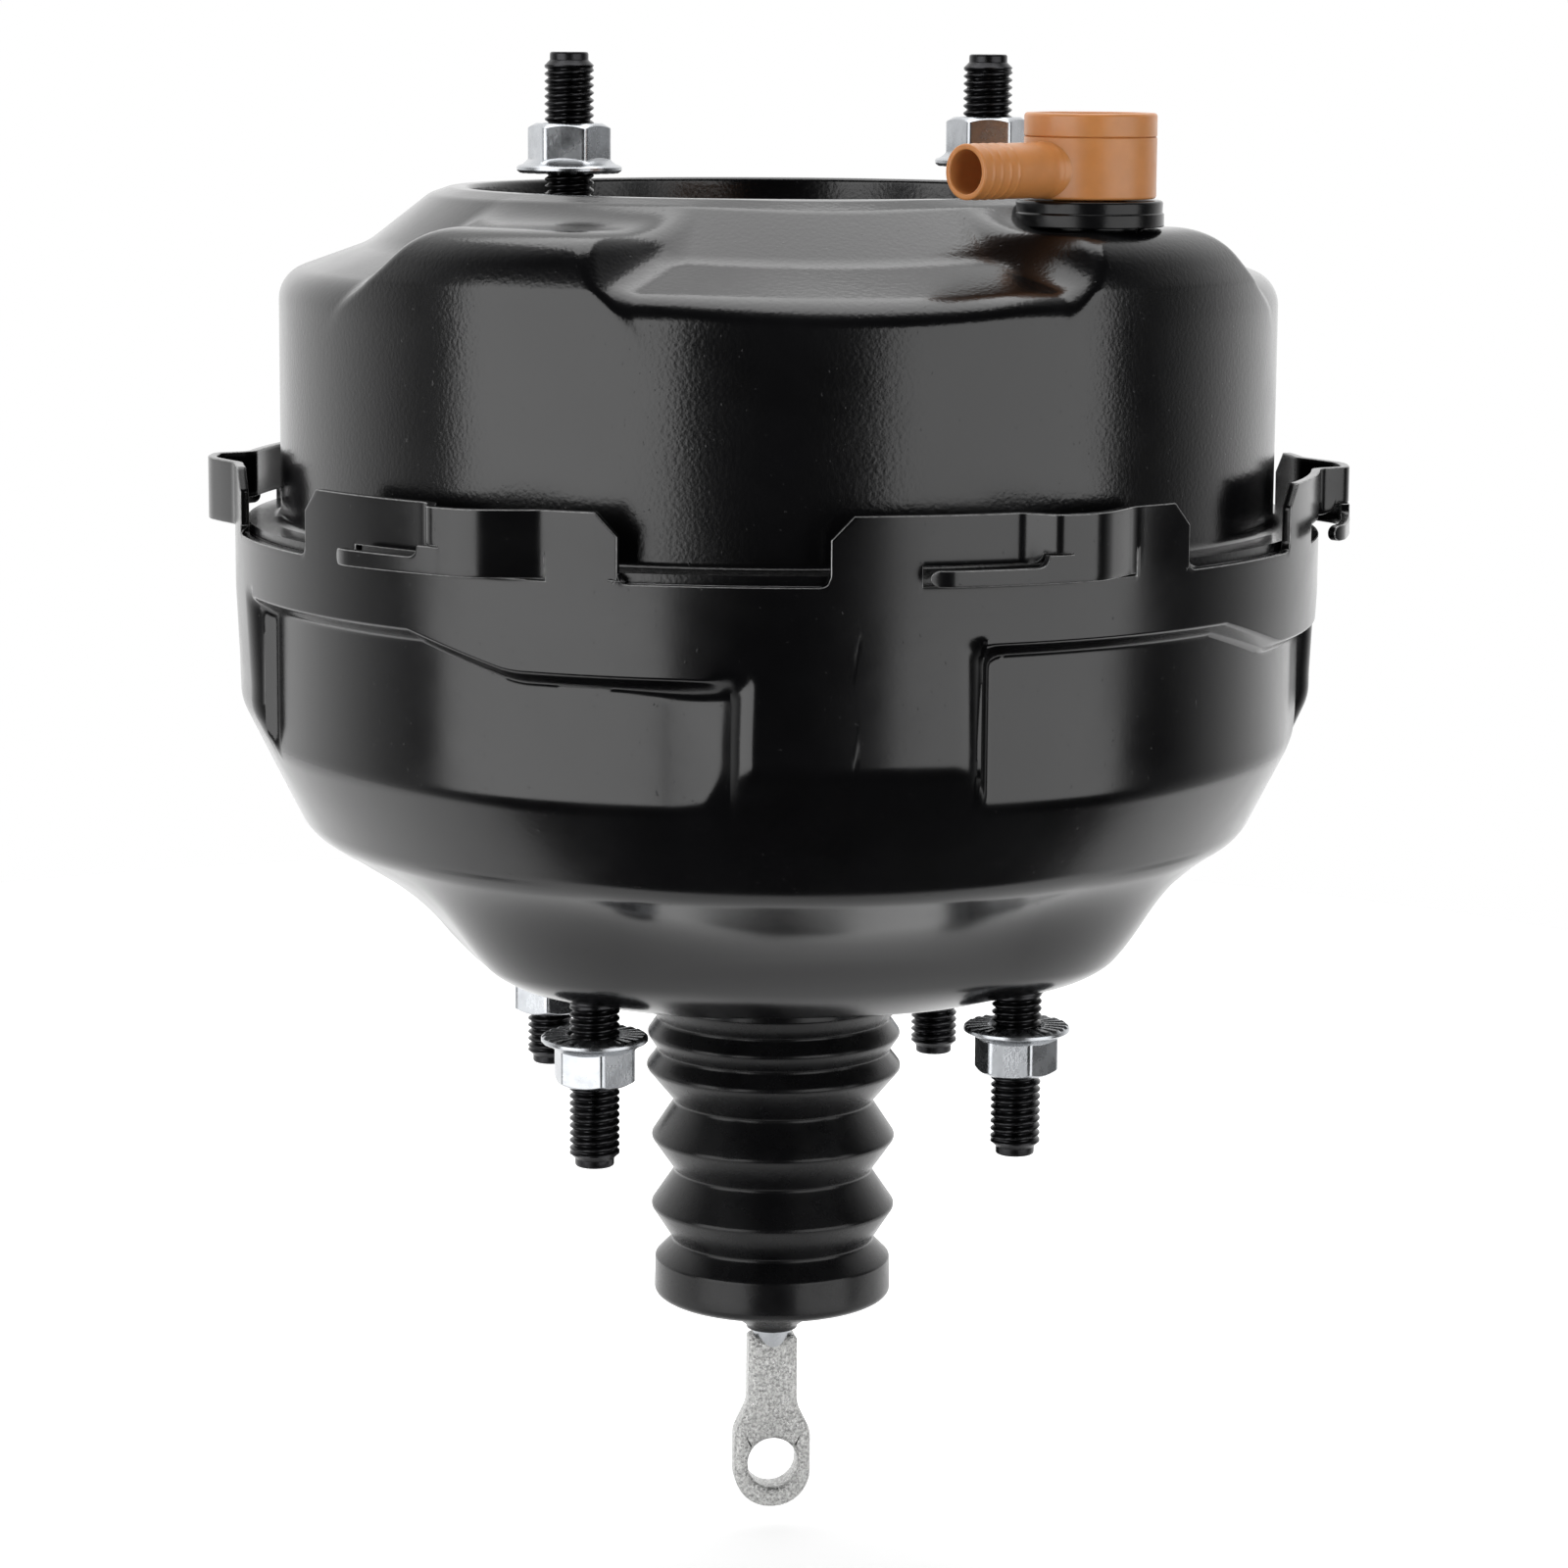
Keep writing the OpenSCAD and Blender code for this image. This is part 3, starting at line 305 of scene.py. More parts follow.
FRONT_PAINT = paint("front_paint", 0.000034, 0.17, 0.24)
REAR_PAINT = paint("rear_paint", 0.000004, 0.17, 0.25)
# Paler metal for the rim's bevelled edges: a painted highlight of their bright edge lines
PAINTED_EDGE_HIGHLIGHT = metal("painted_edge_highlight", (0.3, 0.3, 0.3), 0.4, 0.0003, 0.000005, 0.4, 0.001)
PLAIN_STEEL = metal("plain_steel", (0.45, 0.46, 0.48), 0.38)
BLACK_STEEL = metal("black_oxide", (0.035, 0.035, 0.037), 0.32, 0.0005, 0.000012, 0.3, 0.002)
ZINC = metal("bright_zinc", (0.44, 0.455, 0.475), 0.26, 0.0007, 0.00002, 0.12, 0.003)
FORGED = metal("forged_zinc", (0.6, 0.6, 0.59), 0.3, 0.0006, 0.0004, 0.6, 0.0006)
ALLOY = metal("pressed_alloy", (0.62, 0.62, 0.63), 0.35, 0.0008, 0.00001)
SPRING = metal("spring_steel", (0.3, 0.31, 0.33), 0.3, 0.0005, 0.00001)
NYLON = plastic("tan_nylon", (0.6, 0.245, 0.075), 0.36, 0.12, 0.0009, 0.000012, 0.14)
RESIN = plastic("dark_resin", (0.03, 0.026, 0.024), 0.42)
BEARING = plastic("bearing_plastic", (0.62, 0.59, 0.5), 0.45, 0.1)


def rubber(name, rough):
    """Black rubber, slightly uneven in its surface and shine."""
    s = Shader(name, Metallic=0.0, IOR=1.5, Specular_IOR_Level=0.3)
    deep, pale = (0.002, 0.002, 0.0023), (0.005, 0.005, 0.0056)
    s.color(s.tones(s.noise(0.008, 5, 0.65), [(0.3, deep), (0.75, pale)]))
    s.rough(s.span(s.noise(0.006, 4, 0.6), 0.3, 0.7, rough * 0.85, rough * 1.15))
    s.bump(s.noise(0.0005, 2), 0.000012)
    s.bump(s.noise(0.009, 3), 0.00008)
    return s.mat


BOOT = rubber("boot_rubber", 0.27)
RUBBER = rubber("rubber", 0.5)
GROMMET = rubber("grommet_rubber", 0.24)


def felt():
    """The fibres of the air filter."""
    s = Shader("felt", Metallic=0.0)
    s.color(s.tones(s.noise(0.0012, 6, 0.7), [(0.3, (0.42, 0.39, 0.32)), (0.7, (0.68, 0.65, 0.57))]))
    s.rough(s.span(s.noise(0.002, 3), 0.3, 0.7, 0.85, 1.0))
    s.bump(s.noise(0.0006, 5, 0.7), 0.0002)
    return s.mat


FELT = felt()

# ---------------------------------------------------------------- sizes, in millimetres and degrees

SHEET = 1.8
REAR_R = 109.9
BAND_R = 110.7
FRONT_R = 101.4
FLANGE_R = BAND_R - SHEET - 0.7
JOINT_Z = 89.6
TAB_TOP = 102.6
CONE = [(24, 0, 0), (57, 0, 4), (72, 12.8, 30), (96.8, 28.6, 10), (REAR_R, 55, 10)]
POCKET_FLOOR = REAR_R - 3.9
POCKET_R = 107
POCKET_TURN = 90.0
POCKET_SPAN = 65
POCKET_SEAM = 77.5
POCKETS = 12.1
# Half width, half depth, corner radius and edge radius of the mounting land
LAND = (57, 59, 18, 6)
LAND_DRAFT = 15
REAR_SPINE = (44.0, 34.0)
DISH_R = 62.8
RING_Z = 158
DISH_Z = 148
PAD_Z = 153.0
PAD_DIST = 81.5
PAD_AZ = 38.5
VALVE = (PAD_DIST * math.sin(math.radians(PAD_AZ)), -PAD_DIST * math.cos(math.radians(PAD_AZ)))
TAB_TURN = 60
TABS = [-3.1 + TAB_TURN * i for i in range(6)]
TAB_END = 41.0
TAB_SPAN = 39.6
TAB_CHAMFER = 4.4
BAND_FOOT = 84.0
CREST_R = 116.9
CATCH_END = 33.4
HOOK = (9.2, 23.2)
SLIT = (93.05, 93.15)
SLIT_CORNER = 2.2
SLIT_SILL = 89.95
TUCK_Z = 81.5
TUCK_DEPTH = 0.9
FRONT_SPINE = (75.0, 126.0)
FACET_NORMAL, FACET_POINT = (0, -0.515, 0.857), (0, -86.0, 148.4)
VALVE_HOLE_R = 10.6
MASTER_HOLE_R = 16
FIREWALL_X, FIREWALL_Y, MASTER_X = 42.5, 46.5, 42.85
FIREWALL_STUD, MASTER_STUD = 33.3, 37.0
NEAR_NUT_Z, FAR_NUT_Z = -6.6, -11.8
FLOOR_R, FLOOR_Y, FLOOR_Z = 460, 330, -124

# ---------------------------------------------------------------- rear shell


def pocket_angle(az):
    """The angle from the left edge of the nearest pocket."""
    t = np.mod(az - POCKETS, POCKET_TURN)
    return np.where(t > POCKET_SEAM, t - POCKET_TURN, t)


def ledge_drop(az):
    """How far the pockets' ledge has come down from its high end at an azimuth."""
    t = pocket_angle(az)
    return 6 * np.clip(smooth_min(np.maximum(t - 30.9, 0.0) / 12.0, 1.0 + 0 * t, 0.12), 0, 1)


def pocket_wall(az, z):
    """Radius of the pockets' surface at an azimuth and height: the floor, rising at its edges."""
    x = np.radians(pocket_angle(az)) * POCKET_R
    width = math.radians(POCKET_SPAN) * POCKET_R
    top = 78 - ledge_drop(az)
    left = (2.4 - x) * 1.15
    right = np.maximum((x - (width - 7.4)) * 0.16, (x - (width - 0.4)) * 1.5)
    roof = (z - (top - 2.2)) * 1.9
    rise = smooth_max(smooth_max(left, right, 1.0), roof, 5.0)
    return POCKET_FLOOR + smooth_max(rise, np.zeros_like(rise), 0.7)


def pocket_bend(az):
    """How broadly the pockets' edge is rounded: most at the edge that the ribs' ears stand on."""
    t = np.mod(az - POCKETS, POCKET_TURN)
    return 0.9 + 3.6 * step(t, 62.5, 65.5)


def block_distance(p):
    """Signed distance of points to the mounting land, a block with sloped sides and rounded edges."""
    w, d, corner, edge = LAND
    q = np.abs(p[..., :2]) - (np.array([w, d]) - corner)
    plan = np.linalg.norm(np.maximum(q, 0), axis=-1) + np.minimum(q.max(-1), 0) - corner
    plan = (plan - LAND_DRAFT * (1 - np.exp(-0.1 * np.maximum(p[..., 2], 0)))) * 0.8
    a, b = plan + edge, edge - p[..., 2]
    return np.hypot(np.maximum(a, 0), np.maximum(b, 0)) + np.minimum(np.maximum(a, b), 0) - edge


def cast(spine, az, phi, inside, far):
    """Distance along rays from the spine circle to where inside() ends, 0 where it starts outside."""
    lo = np.zeros(np.broadcast_shapes(az.shape, phi.shape))
    hi = lo + far

    def point(t):
        return polar(spine[0] + t * np.cos(phi), az, spine[1] + t * np.sin(phi))

    started = inside(point(lo)) < 0
    for _ in range(26):
        mid = (lo + hi) / 2
        into = inside(point(mid)) < 0
        lo, hi = np.where(into, mid, lo), np.where(into, hi, mid)
    return np.where(started, lo, 0.0)


def rear_spacing(r, z):
    """How close the rear shell's rings stand: closest at the pockets' ledge."""
    return 4.0 if r < 46 and z < 1 else 1.0 if z < 36 else 0.35 if 71 < z < 80 else 0.6


def rear_body():
    """The rear shell below its rim: cone, mounting land, pockets, inner face and neck."""
    path = rounded(CONE + [(REAR_R, 60, 40), (BAND_R, 78, 40), (BAND_R, 84.0, 0)], 10)
    path = resample(path, rear_spacing)
    az = (np.arange(1080) * 360 / 1080)[:, None]
    r, z = np.broadcast_arrays(path[None, :, 0] + 0 * az, path[None, :, 1] + 0 * az)
    r, z = r.copy(), z.copy()
    # The land stands out of the cone: the further of the two surfaces along rays from inside
    spine = np.array(REAR_SPINE)
    low = path[:, 1] < REAR_SPINE[1]
    d = path[low] - spine
    phi = np.arctan2(d[:, 1], d[:, 0])[None, :]
    dist = np.linalg.norm(d, axis=1)[None, :]
    block = cast(spine, az, phi, block_distance, 90.0)
    out = smooth_max(dist + 0 * az, block - 1.2, 13.0)
    out = np.where(path[low][None, :, 0] < 46, dist, out)
    r[:, low] = spine[0] + out * np.cos(phi)
    z[:, low] = spine[1] + out * np.sin(phi)
    # The pockets are pressed in
    high = path[:, 1] > 30
    near = step(z[:, high], 46, 72) * (1 - step(z[:, high], 79.5, 83.5))
    z[:, high] -= ledge_drop(az) * near
    r[:, high] = np.interp(z[:, high], path[high][:, 1], path[high][:, 0])
    wall = pocket_wall(az, z[:, high])
    r[:, high] = smooth_min(r[:, high], wall, pocket_bend(az))
    outer = grid(polar(r, az, z), wrap=True)
    inner_path = offset(resample(rounded(CONE + [(REAR_R, 84.4, 0)], 5), 6), SHEET)
    beside = inner_path[:, 1] > REAR_SPINE[1]
    inner_path[beside, 0] = np.minimum(inner_path[beside, 0], POCKET_FLOOR - SHEET)
    inner = lathe(inner_path, 128, flip=True)
    neck = resample(rounded([(22.2, 1.8, 0), (22.2, -8, 0.5), (24, -8, 0.5), (24, 0, 0)], 3), 3)
    return join(outer, inner, lathe(neck, 96))


def fillet_rise(gap, r=1.8):
    """Height of a fillet at a distance gap from the wall that it runs up."""
    g = np.clip(gap, 0, r)
    return r - np.sqrt(np.maximum(r * r - (r - g) ** 2, 0))


def catch_radius(t):
    """Radius of a tab's outer face over its own angle t: flush, up the step, crest, ramp, flush."""
    rows = [(BAND_R, 16.0, 0), (BAND_R, 19.6, 3.4), (CREST_R, 22.0, 3.4), (CREST_R + 0.1, 26.8, 14),
            (BAND_R, 33.0, 7), (BAND_R, 39, 0)]
    path = rounded([(math.radians(a) * BAND_R, r, q) for r, a, q in rows], 10)
    return np.interp(np.radians(t) * BAND_R, path[:, 0], path[:, 1])


def hook_radius(t):
    """Radius of the hook under the slit: level with the crest, its free end curled in."""
    curl = 1.6 * (1 - np.clip((t - HOOK[0]) / 2.6, 0, 1)) ** 2
    return np.where(t < HOOK[1] + 0.3, CREST_R - curl, catch_radius(t))


def tab_angles():
    """The angles that a tab and the notch after it are built on, closer where the sheet bends."""
    spans = [(0, 2.3, 0.2), (2.3, HOOK[0], 0.6), (HOOK[0], 11.4, 0.1), (11.4, 18.8, 0.5),
             (18.8, HOOK[1], 0.1), (HOOK[1], 24.4, 0.3), (24.4, CATCH_END, 0.15),
             (CATCH_END, 38.6, 0.5), (38.6, TAB_END, 0.2), (TAB_END, TAB_END + 2, 0.2),
             (TAB_END + 2, 58, 0.6), (58, TAB_TURN, 0.2)]
    runs = [np.linspace(a, b, max(2, round((b - a) / gap) + 1)) for a, b, gap in spans]
    return np.unique(np.concatenate(runs).round(4))


def rear_rim():
    """The band with its notches and tabs, as an open sheet of its outer face."""
    parts = []
    t = tab_angles()
    mm = np.radians(t) * BAND_R
    end, turn = math.radians(TAB_END) * BAND_R, math.radians(TAB_TURN) * BAND_R
    in_notch = fillet_rise(mm - end) + fillet_rise(turn - mm)
    on_tab = fillet_rise(mm) + fillet_rise(end - mm)
    rim = JOINT_Z + np.where(t > TAB_END, in_notch, on_tab)
    top = TAB_TOP - np.maximum(TAB_CHAMFER - (end - mm), 0) - np.maximum(TAB_CHAMFER - mm, 0)
    lift = fillet_rise(math.radians(20.9) * BAND_R - mm, SLIT_CORNER)
    low, high = SLIT[0] + lift, SLIT[1] + lift
    flat = np.full_like(t, BAND_R)
    catch, hook = catch_radius(t), hook_radius(t)
    # The hook's free end is round, seen from outside
    end_r, end_rise = 1.75, 1.5
    inset = np.clip(end_r - (mm - math.radians(HOOK[0]) * BAND_R), 0, end_r)
    nib = end_rise - np.sqrt(np.maximum(end_r ** 2 - inset ** 2, 0)) * end_rise / end_r
    sill = SLIT_SILL + nib
    nose = low - nib

    def strip(start, a, b, z0, z1, radius, n, foot=None):
        """Adds a strip of a tab, from angle a to b and from z0 to z1, in n rows."""
        k = (t >= a - 1e-6) & (t <= b + 1e-6)
        lo, hi = np.broadcast_to(z0, t.shape)[k], np.broadcast_to(z1, t.shape)[k]
        share = np.linspace(0, 1, n)[None, :]
        zz = lo[:, None] + (hi - lo)[:, None] * share
        low_r = radius if foot is None else foot
        rr = low_r[k][:, None] * (1 - share) + radius[k][:, None] * share
        spread = np.interp(t[k], [0, TAB_END, TAB_TURN], [0, TAB_SPAN, TAB_TURN])
        parts.append(grid(polar(rr, (start + spread)[:, None], zz)))

    for start in TABS:
        strip(start, 0, TAB_TURN, TUCK_Z, BAND_FOOT, flat, 2, flat - TUCK_DEPTH)
        strip(start, 0, TAB_TURN, BAND_FOOT, BAND_FOOT + 0.06, flat, 2)
        strip(start, 0, TAB_TURN, BAND_FOOT + 0.06, rim, flat, 5)
        strip(start, 0, HOOK[0], rim, high, flat, 4)
        strip(start, CATCH_END, TAB_END, rim, SLIT_SILL, flat, 2)
        strip(start, CATCH_END, TAB_END, SLIT_SILL, low, catch, 5, flat)
        strip(start, CATCH_END, TAB_END, low, high, catch, 2)
        strip(start, 0, TAB_END, high, top, catch, 8)
        strip(start, HOOK[0], HOOK[1], sill, nose, hook, 5)
        strip(start, HOOK[1], CATCH_END, SLIT_SILL, low, hook, 5)
        strip(start, HOOK[1], CATCH_END, low, high, catch, 2)
    return join(*parts)


def build_rear():
    """The rear shell, its rim given its thickness and a paler metal on its bevelled edges, a painted
    highlight.
    """
    piece("rear_shell_body", rear_body(), "housing", REAR_PAINT, ["rear_shell"],
          weld=False)
    rim = piece("rear_shell_rim", rear_rim(), "housing", REAR_PAINT, ["rear_shell"],
                sharp=40)
    # Second material: the paler metal that paints a highlight along the rim's edges
    rim.data.materials.append(PAINTED_EDGE_HIGHLIGHT)
    thick = rim.modifiers.new("sheet", "SOLIDIFY")
    thick.thickness = SHEET * MM
    thick.offset = -1
    edge = rim.modifiers.new("edge", "BEVEL")
    edge.width = 0.2 * MM
    edge.use_clamp_overlap = False
    edge.segments = 2
    edge.limit_method = "ANGLE"
    edge.angle_limit = math.radians(50)
    # The bevel's faces take the painted edge highlight
    edge.material = 1


# ---------------------------------------------------------------- front shell

FRONT = [(FRONT_R, 140.3, 7), (83.5, 146.8, 14), (71, 156.6, 5), (67, RING_Z, 3),
         (DISH_R + 0.6, RING_Z, 1.0), (DISH_R, DISH_Z, 2.2), (MASTER_HOLE_R, DISH_Z, 0)]


def pad_inside(side):
    """A pad's solid: flat top, flanks that draw in towards its upright front."""
    a = math.radians(side * PAD_AZ)
    out = np.array([math.sin(a), -math.cos(a)])
    along = np.array([math.cos(a), math.sin(a)])

    def inside(p):
        u = p[..., :2] @ out - PAD_DIST
        v = p[..., :2] @ along
        z = p[..., 2]
        deep = PAD_Z - z
        near = (-side * v - (17.5 - 0.28 * u + 0.6 * deep)) * 0.85
        away = (side * v - (23 + 1.1 * deep)) * 0.7
        behind = (-u - 19 - 0.5 * deep) * 0.85
        flank = smooth_max(smooth_max(near, away, 4.0), behind, 4.0)
        bend_r, bend_z, bend = 89.4, 141.6, 11.4
        r = np.hypot(p[..., 0], p[..., 1])
        front = np.hypot(np.maximum(r - bend_r, 0), np.maximum(z - bend_z, 0)) - bend
        front = front + 0.4 * np.maximum(bend_z - z, 0)
        return smooth_max(smooth_max(z - PAD_Z, flank, 4.5), front, 1.5)

    return inside


def front_spacing(r, z):
    """How close the front shell's rings stand: closest on the crown, wide on the dish's floor."""
    return 1.2 if z < 128 else 0.55 if r > 66 else 0.8 if z > 148.5 else 3.0


def front_body():
    """The front shell: wall, crown with its facet and pads, dish, inner face and flange."""
    start = [(FLANGE_R, JOINT_Z + SHEET, 0), (FRONT_R, JOINT_Z + SHEET, 2)]
    path = resample(rounded(start + FRONT, 12), front_spacing)
    az = (np.arange(960) * 360 / 960)[:, None]
    r = path[None, :, 0] + 0 * az
    z = path[None, :, 1] + 0 * az
    spine = np.array(FRONT_SPINE)
    crown = (path[:, 1] > 128) & (path[:, 0] > 64.5)
    d = path[crown] - spine
    phi = np.arctan2(d[:, 1], d[:, 0])[None, :]
    dist = np.linalg.norm(d, axis=1)[None, :] + 0 * az
    # The facet between the pads, a plane that cuts the crown at the front
    normal, through = np.array(FACET_NORMAL), np.array(FACET_POINT)
    origin = polar(spine[0], az, spine[1])
    ray = polar(np.cos(phi) + 0 * az, az + 0 * phi, np.sin(phi) + 0 * az)
    facing = ray @ normal
    plane = ((through - origin) @ normal) / np.where(facing > 0.05, facing, np.nan)
    near, beyond = np.abs((az + 180) % 360 - 180) < 40, 1e3
    plane = np.where(near & (plane > 0), plane, beyond)
    plane = np.nan_to_num(plane, nan=beyond)
    dist = smooth_min(dist, plane, 5.0)
    for side in (-1, 1):
        pad = cast(spine, az, phi, pad_inside(side), 60.0)
        dist = smooth_max(dist, pad, 6.0)
    r[:, crown] = spine[0] + dist * np.cos(phi)
    z[:, crown] = spine[1] + dist * np.sin(phi)
    p = polar(r, az, z)
    mid = p[:, :-1]
    solid = np.hypot(mid[..., 0] - VALVE[0], mid[..., 1] - VALVE[1]) > VALVE_HOLE_R
    outer = grid(p, wrap=True, mask=solid)
    base = offset(resample(rounded(start + FRONT, 5), 5), SHEET)
    inner = lathe(base, 128, flip=True)
    lip = np.array([[FLANGE_R, JOINT_Z + SHEET], [FLANGE_R, JOINT_Z], [FRONT_R - SHEET, JOINT_Z]])
    hole_edge = np.array([[MASTER_HOLE_R, DISH_Z - SHEET], [MASTER_HOLE_R, DISH_Z]])
    return join(outer, inner, lathe(lip, 192, flip=True), lathe(hole_edge, 96))


def build_front():
    piece("front_shell_body", front_body(), "housing", FRONT_PAINT, ["front_shell"],
          sharp=50, weld=False)


# ---------------------------------------------------------------- studs and nuts


def thread(r, z0, z1, pitch=1.5, depth=0.75, n=36, per=10):
    """A helical thread's surface, fading at both ends."""
    rows = int((z1 - z0) / pitch * per)
    z = np.linspace(z0, z1, rows)
    az = np.arange(n) * 360 / n
    phase = np.mod(z[None, :] / pitch - az[:, None] / 360, 1.0)
    tooth = np.abs(phase - 0.5) * 2
    form = np.clip((tooth - 0.1) / 0.72, 0, 1)
    fade = step(z, z0, z0 + pitch) * (1 - step(z, z1 - pitch * 0.8, z1))
    rr = r - depth * (1 - form) * fade[None, :]
    return polar(rr, az[:, None], z[None, :])


def stud(length):
    """A stud along +Z from its mounting face: shoulder, thread and dog point."""
    n = 36
    az = np.arange(n) * 360 / n
    start = np.array([[7.5, -7.3], [7.5, -4.3], [5.4, -4.3], [5.4, 0.0], [5.0, 0.0]])
    base = polar(start[None, :, 0], az[:, None], start[None, :, 1])
    grip = thread(4.98, 0.0, length - 2.6)
    tip = rounded([(4.9, length - 2.6, 0), (3.9, length - 1.6, 0.3), (3.9, length, 0.5),
                   (0.6, length, 0), (0.3, length, 0)], 4)
    end = polar(tip[None, :, 0], az[:, None], tip[None, :, 1])
    p = np.concatenate([base, grip, end], axis=1)
    v, f = grid(p, wrap=True)
    cap, cf = fan(p[:, -1], np.array([[0, 0, length]]))
    return join((v, f), (cap, cf))


def nut(turn=0.0):
    """A hex flange nut, its serrated flange face at z = 0 and the hexagon above."""
    n = 144
    az = np.arange(n) * 360 / n
    flat, corner, top, flange, rim, bore = 7.4, 8.42, 10.0, 10.6, 1.5, 4.95
    chamfer_r, chamfer_angle, serrations = 6.9, 30, 24
    hexagon = flat / np.cos(np.radians(np.mod(az, 60) - 30))
    hexagon = np.minimum(hexagon, corner)
    cone = top - np.maximum(hexagon - chamfer_r, 0) * math.tan(math.radians(chamfer_angle))
    teeth = 0.35 * (0.5 + 0.5 * np.sign(np.sin(np.radians(az * serrations)))) * 0.9 + 0.05
    skirt = 2.9 - (hexagon - flat) * 0.42
    rows = [(bore, 0.7), (5.7, 0.1), (7.0, teeth * 0.5), (9.9, teeth), (flange - 0.15, 0.45), (flange, 0.7),
            (flange, rim - 0.25), (flange - 0.25, rim), (9.4, rim + 0.35), (hexagon + 0.25, skirt),
            (hexagon, skirt + 0.3), (hexagon, cone - 0.15), (hexagon - 0.12, cone), (6.75, top), (6.4, top),
            (5.9, top), (5.7, top - 0.05), (bore, top - 0.8), (bore, 0.7)]
    r = np.stack([np.broadcast_to(row[0], n) for row in rows], 1)
    z = np.stack([np.broadcast_to(row[1], n) for row in rows], 1)
    return grid(polar(r, (az + turn)[:, None], z), wrap=True)


def placed(geometry, at, down=False):
    """Geometry moved to a point, and turned over about X if it hangs down."""
    v, f = geometry
    v = v.copy()
    if down:
        v[:, 1:] *= -1
    return v + np.array(at), f


def build_fasteners():
    """The six studs, and a nut on each, turned as far as its place says."""
    firewall, nuts = [], []
    for sx, sy, turn in ((-1, -1, -4), (1, -1, 51), (-1, 1, 11), (1, 1, 24)):
        at = (sx * FIREWALL_X, sy * FIREWALL_Y)
        firewall.append(placed(stud(FIREWALL_STUD), (*at, 0), True))
        nuts.append(placed(nut(turn), (*at, NEAR_NUT_Z if sy < 0 else FAR_NUT_Z), True))
    piece("firewall_stud_set", join(*firewall), "housing", BLACK_STEEL,
          ["firewall_studs"])
    piece("firewall_nut_set", join(*nuts), "housing", ZINC, ["firewall_nuts"], sharp=28)
    master = [placed(stud(MASTER_STUD), (sx * MASTER_X, 0, DISH_Z)) for sx in (-1, 1)]
    caps = [placed(nut(17), (-MASTER_X, 0, 160.8)), placed(nut(22), (MASTER_X, 0, 162.4))]
    piece("master_stud_set", join(*master), "housing", BLACK_STEEL, ["master_studs"])
    piece("master_nut_set", join(*caps), "housing", ZINC, ["master_nuts"], sharp=28)


# ---------------------------------------------------------------- check valve and grommet

FOOT_Z = 158.3
CAP_TOP = FOOT_Z + 16.2
SEAM_Z = CAP_TOP - 4.5
NOZZLE_Z = FOOT_Z + 5.5
NOZZLE_AZ = 215
VALVE_R = 12.7
CHAMBER_R = 9.6


def valve_barrel():
    """The check valve's body below its seam: barb, neck, chamber and wall."""
    r, neck_r, bore_r, barb_z = VALVE_R, 7, 4, 148.4
    outer = rounded([(bore_r, barb_z, 0), (6.2, 146.0, 0.3), (7.9, barb_z, 0.4), (neck_r, 148.6, 0),
                     (neck_r, FOOT_Z, 0.3), (r, FOOT_Z, 0.6), (r, SEAM_Z - 0.15, 0.2),
                     (r - 0.25, SEAM_Z, 0)], 4)
    inner = rounded([(r - 0.25, SEAM_Z, 0), (CHAMBER_R, SEAM_Z, 0), (CHAMBER_R, FOOT_Z + 2.2, 0.6),
                     (bore_r, FOOT_Z + 2.2, 0), (bore_r, barb_z, 0)], 4)
    return lathe(resample(np.vstack([outer, inner[1:]]), 2.5), 96, VALVE)


def valve_nozzle():
    """The nozzle: a tube with ridges near its end and a flared foot on the body."""
    s = np.linspace(9.0, 34.0, 130)
    tube = 5.35 - 0.12 + 0 * s
    tube += 0.55 * np.exp(-((s - 11.6) / 1.3) ** 2) + 0.12 * step(s, 14, 12)
    for ridge in (24.6, 26.9, 29.2, 31.4):
        tube += 0.12 * np.exp(-((s - ridge) / 0.32) ** 2)
    tube = np.minimum(tube - 0.05 * step(s, 21, 24), 5.5)
    tube = np.where(s < 12.6, tube + 0.3 * (12.6 - s), tube)
    outer = np.stack([tube, s], 1)[:-1]
    mouth = rounded([(5.23, 33.4, 0), (5.23, 34, 0.35), (4.15, 34, 0.35), (4.0, 32.6, 0)], 4)
    bore = np.array([[4.0, 20.0], [4.0, 7.0]])
    path = np.vstack([outer[outer[:, 1] < 33.3], mouth, bore])
    n = 72
    az = np.arange(n) * 360 / n
    p = polar(path[None, :, 0], az[:, None], path[None, :, 1])
    a = math.radians(NOZZLE_AZ)
    along, side = np.array([math.cos(a), math.sin(a), 0]), np.array([-math.sin(a), math.cos(a), 0])
    q = p[..., 2:3] * along + p[..., 0:1] * side + p[..., 1:2] * np.array([0, 0, 1.0])
    q[..., 2] = np.maximum(q[..., 2], -5.42)  # its foot stays above the body's underside
    q += np.array([VALVE[0], VALVE[1], NOZZLE_Z])
    return grid(q, wrap=True)


def valve_cap():
    """The welded cap, with a raised rim and a spigot in the body's chamber."""
    r, spigot_r, spigot_z = VALVE_R, CHAMBER_R - 0.05, SEAM_Z - 1.8
    cap = rounded([(spigot_r, spigot_z, 0), (spigot_r, SEAM_Z, 0), (r - 0.3, SEAM_Z, 0),
                   (r, SEAM_Z + 0.2, 0.2), (r, CAP_TOP, 0.7), (r - 1.9, CAP_TOP, 0.6),
                   (r - 2.4, CAP_TOP - 1.5, 0.7), (0.4, CAP_TOP - 1.3, 0)], 5)
    under = lathe(np.array([[0.4, spigot_z], [spigot_r, spigot_z]]), 96, VALVE)
    return join(lathe(resample(cap, 2.5), 96, VALVE), under)


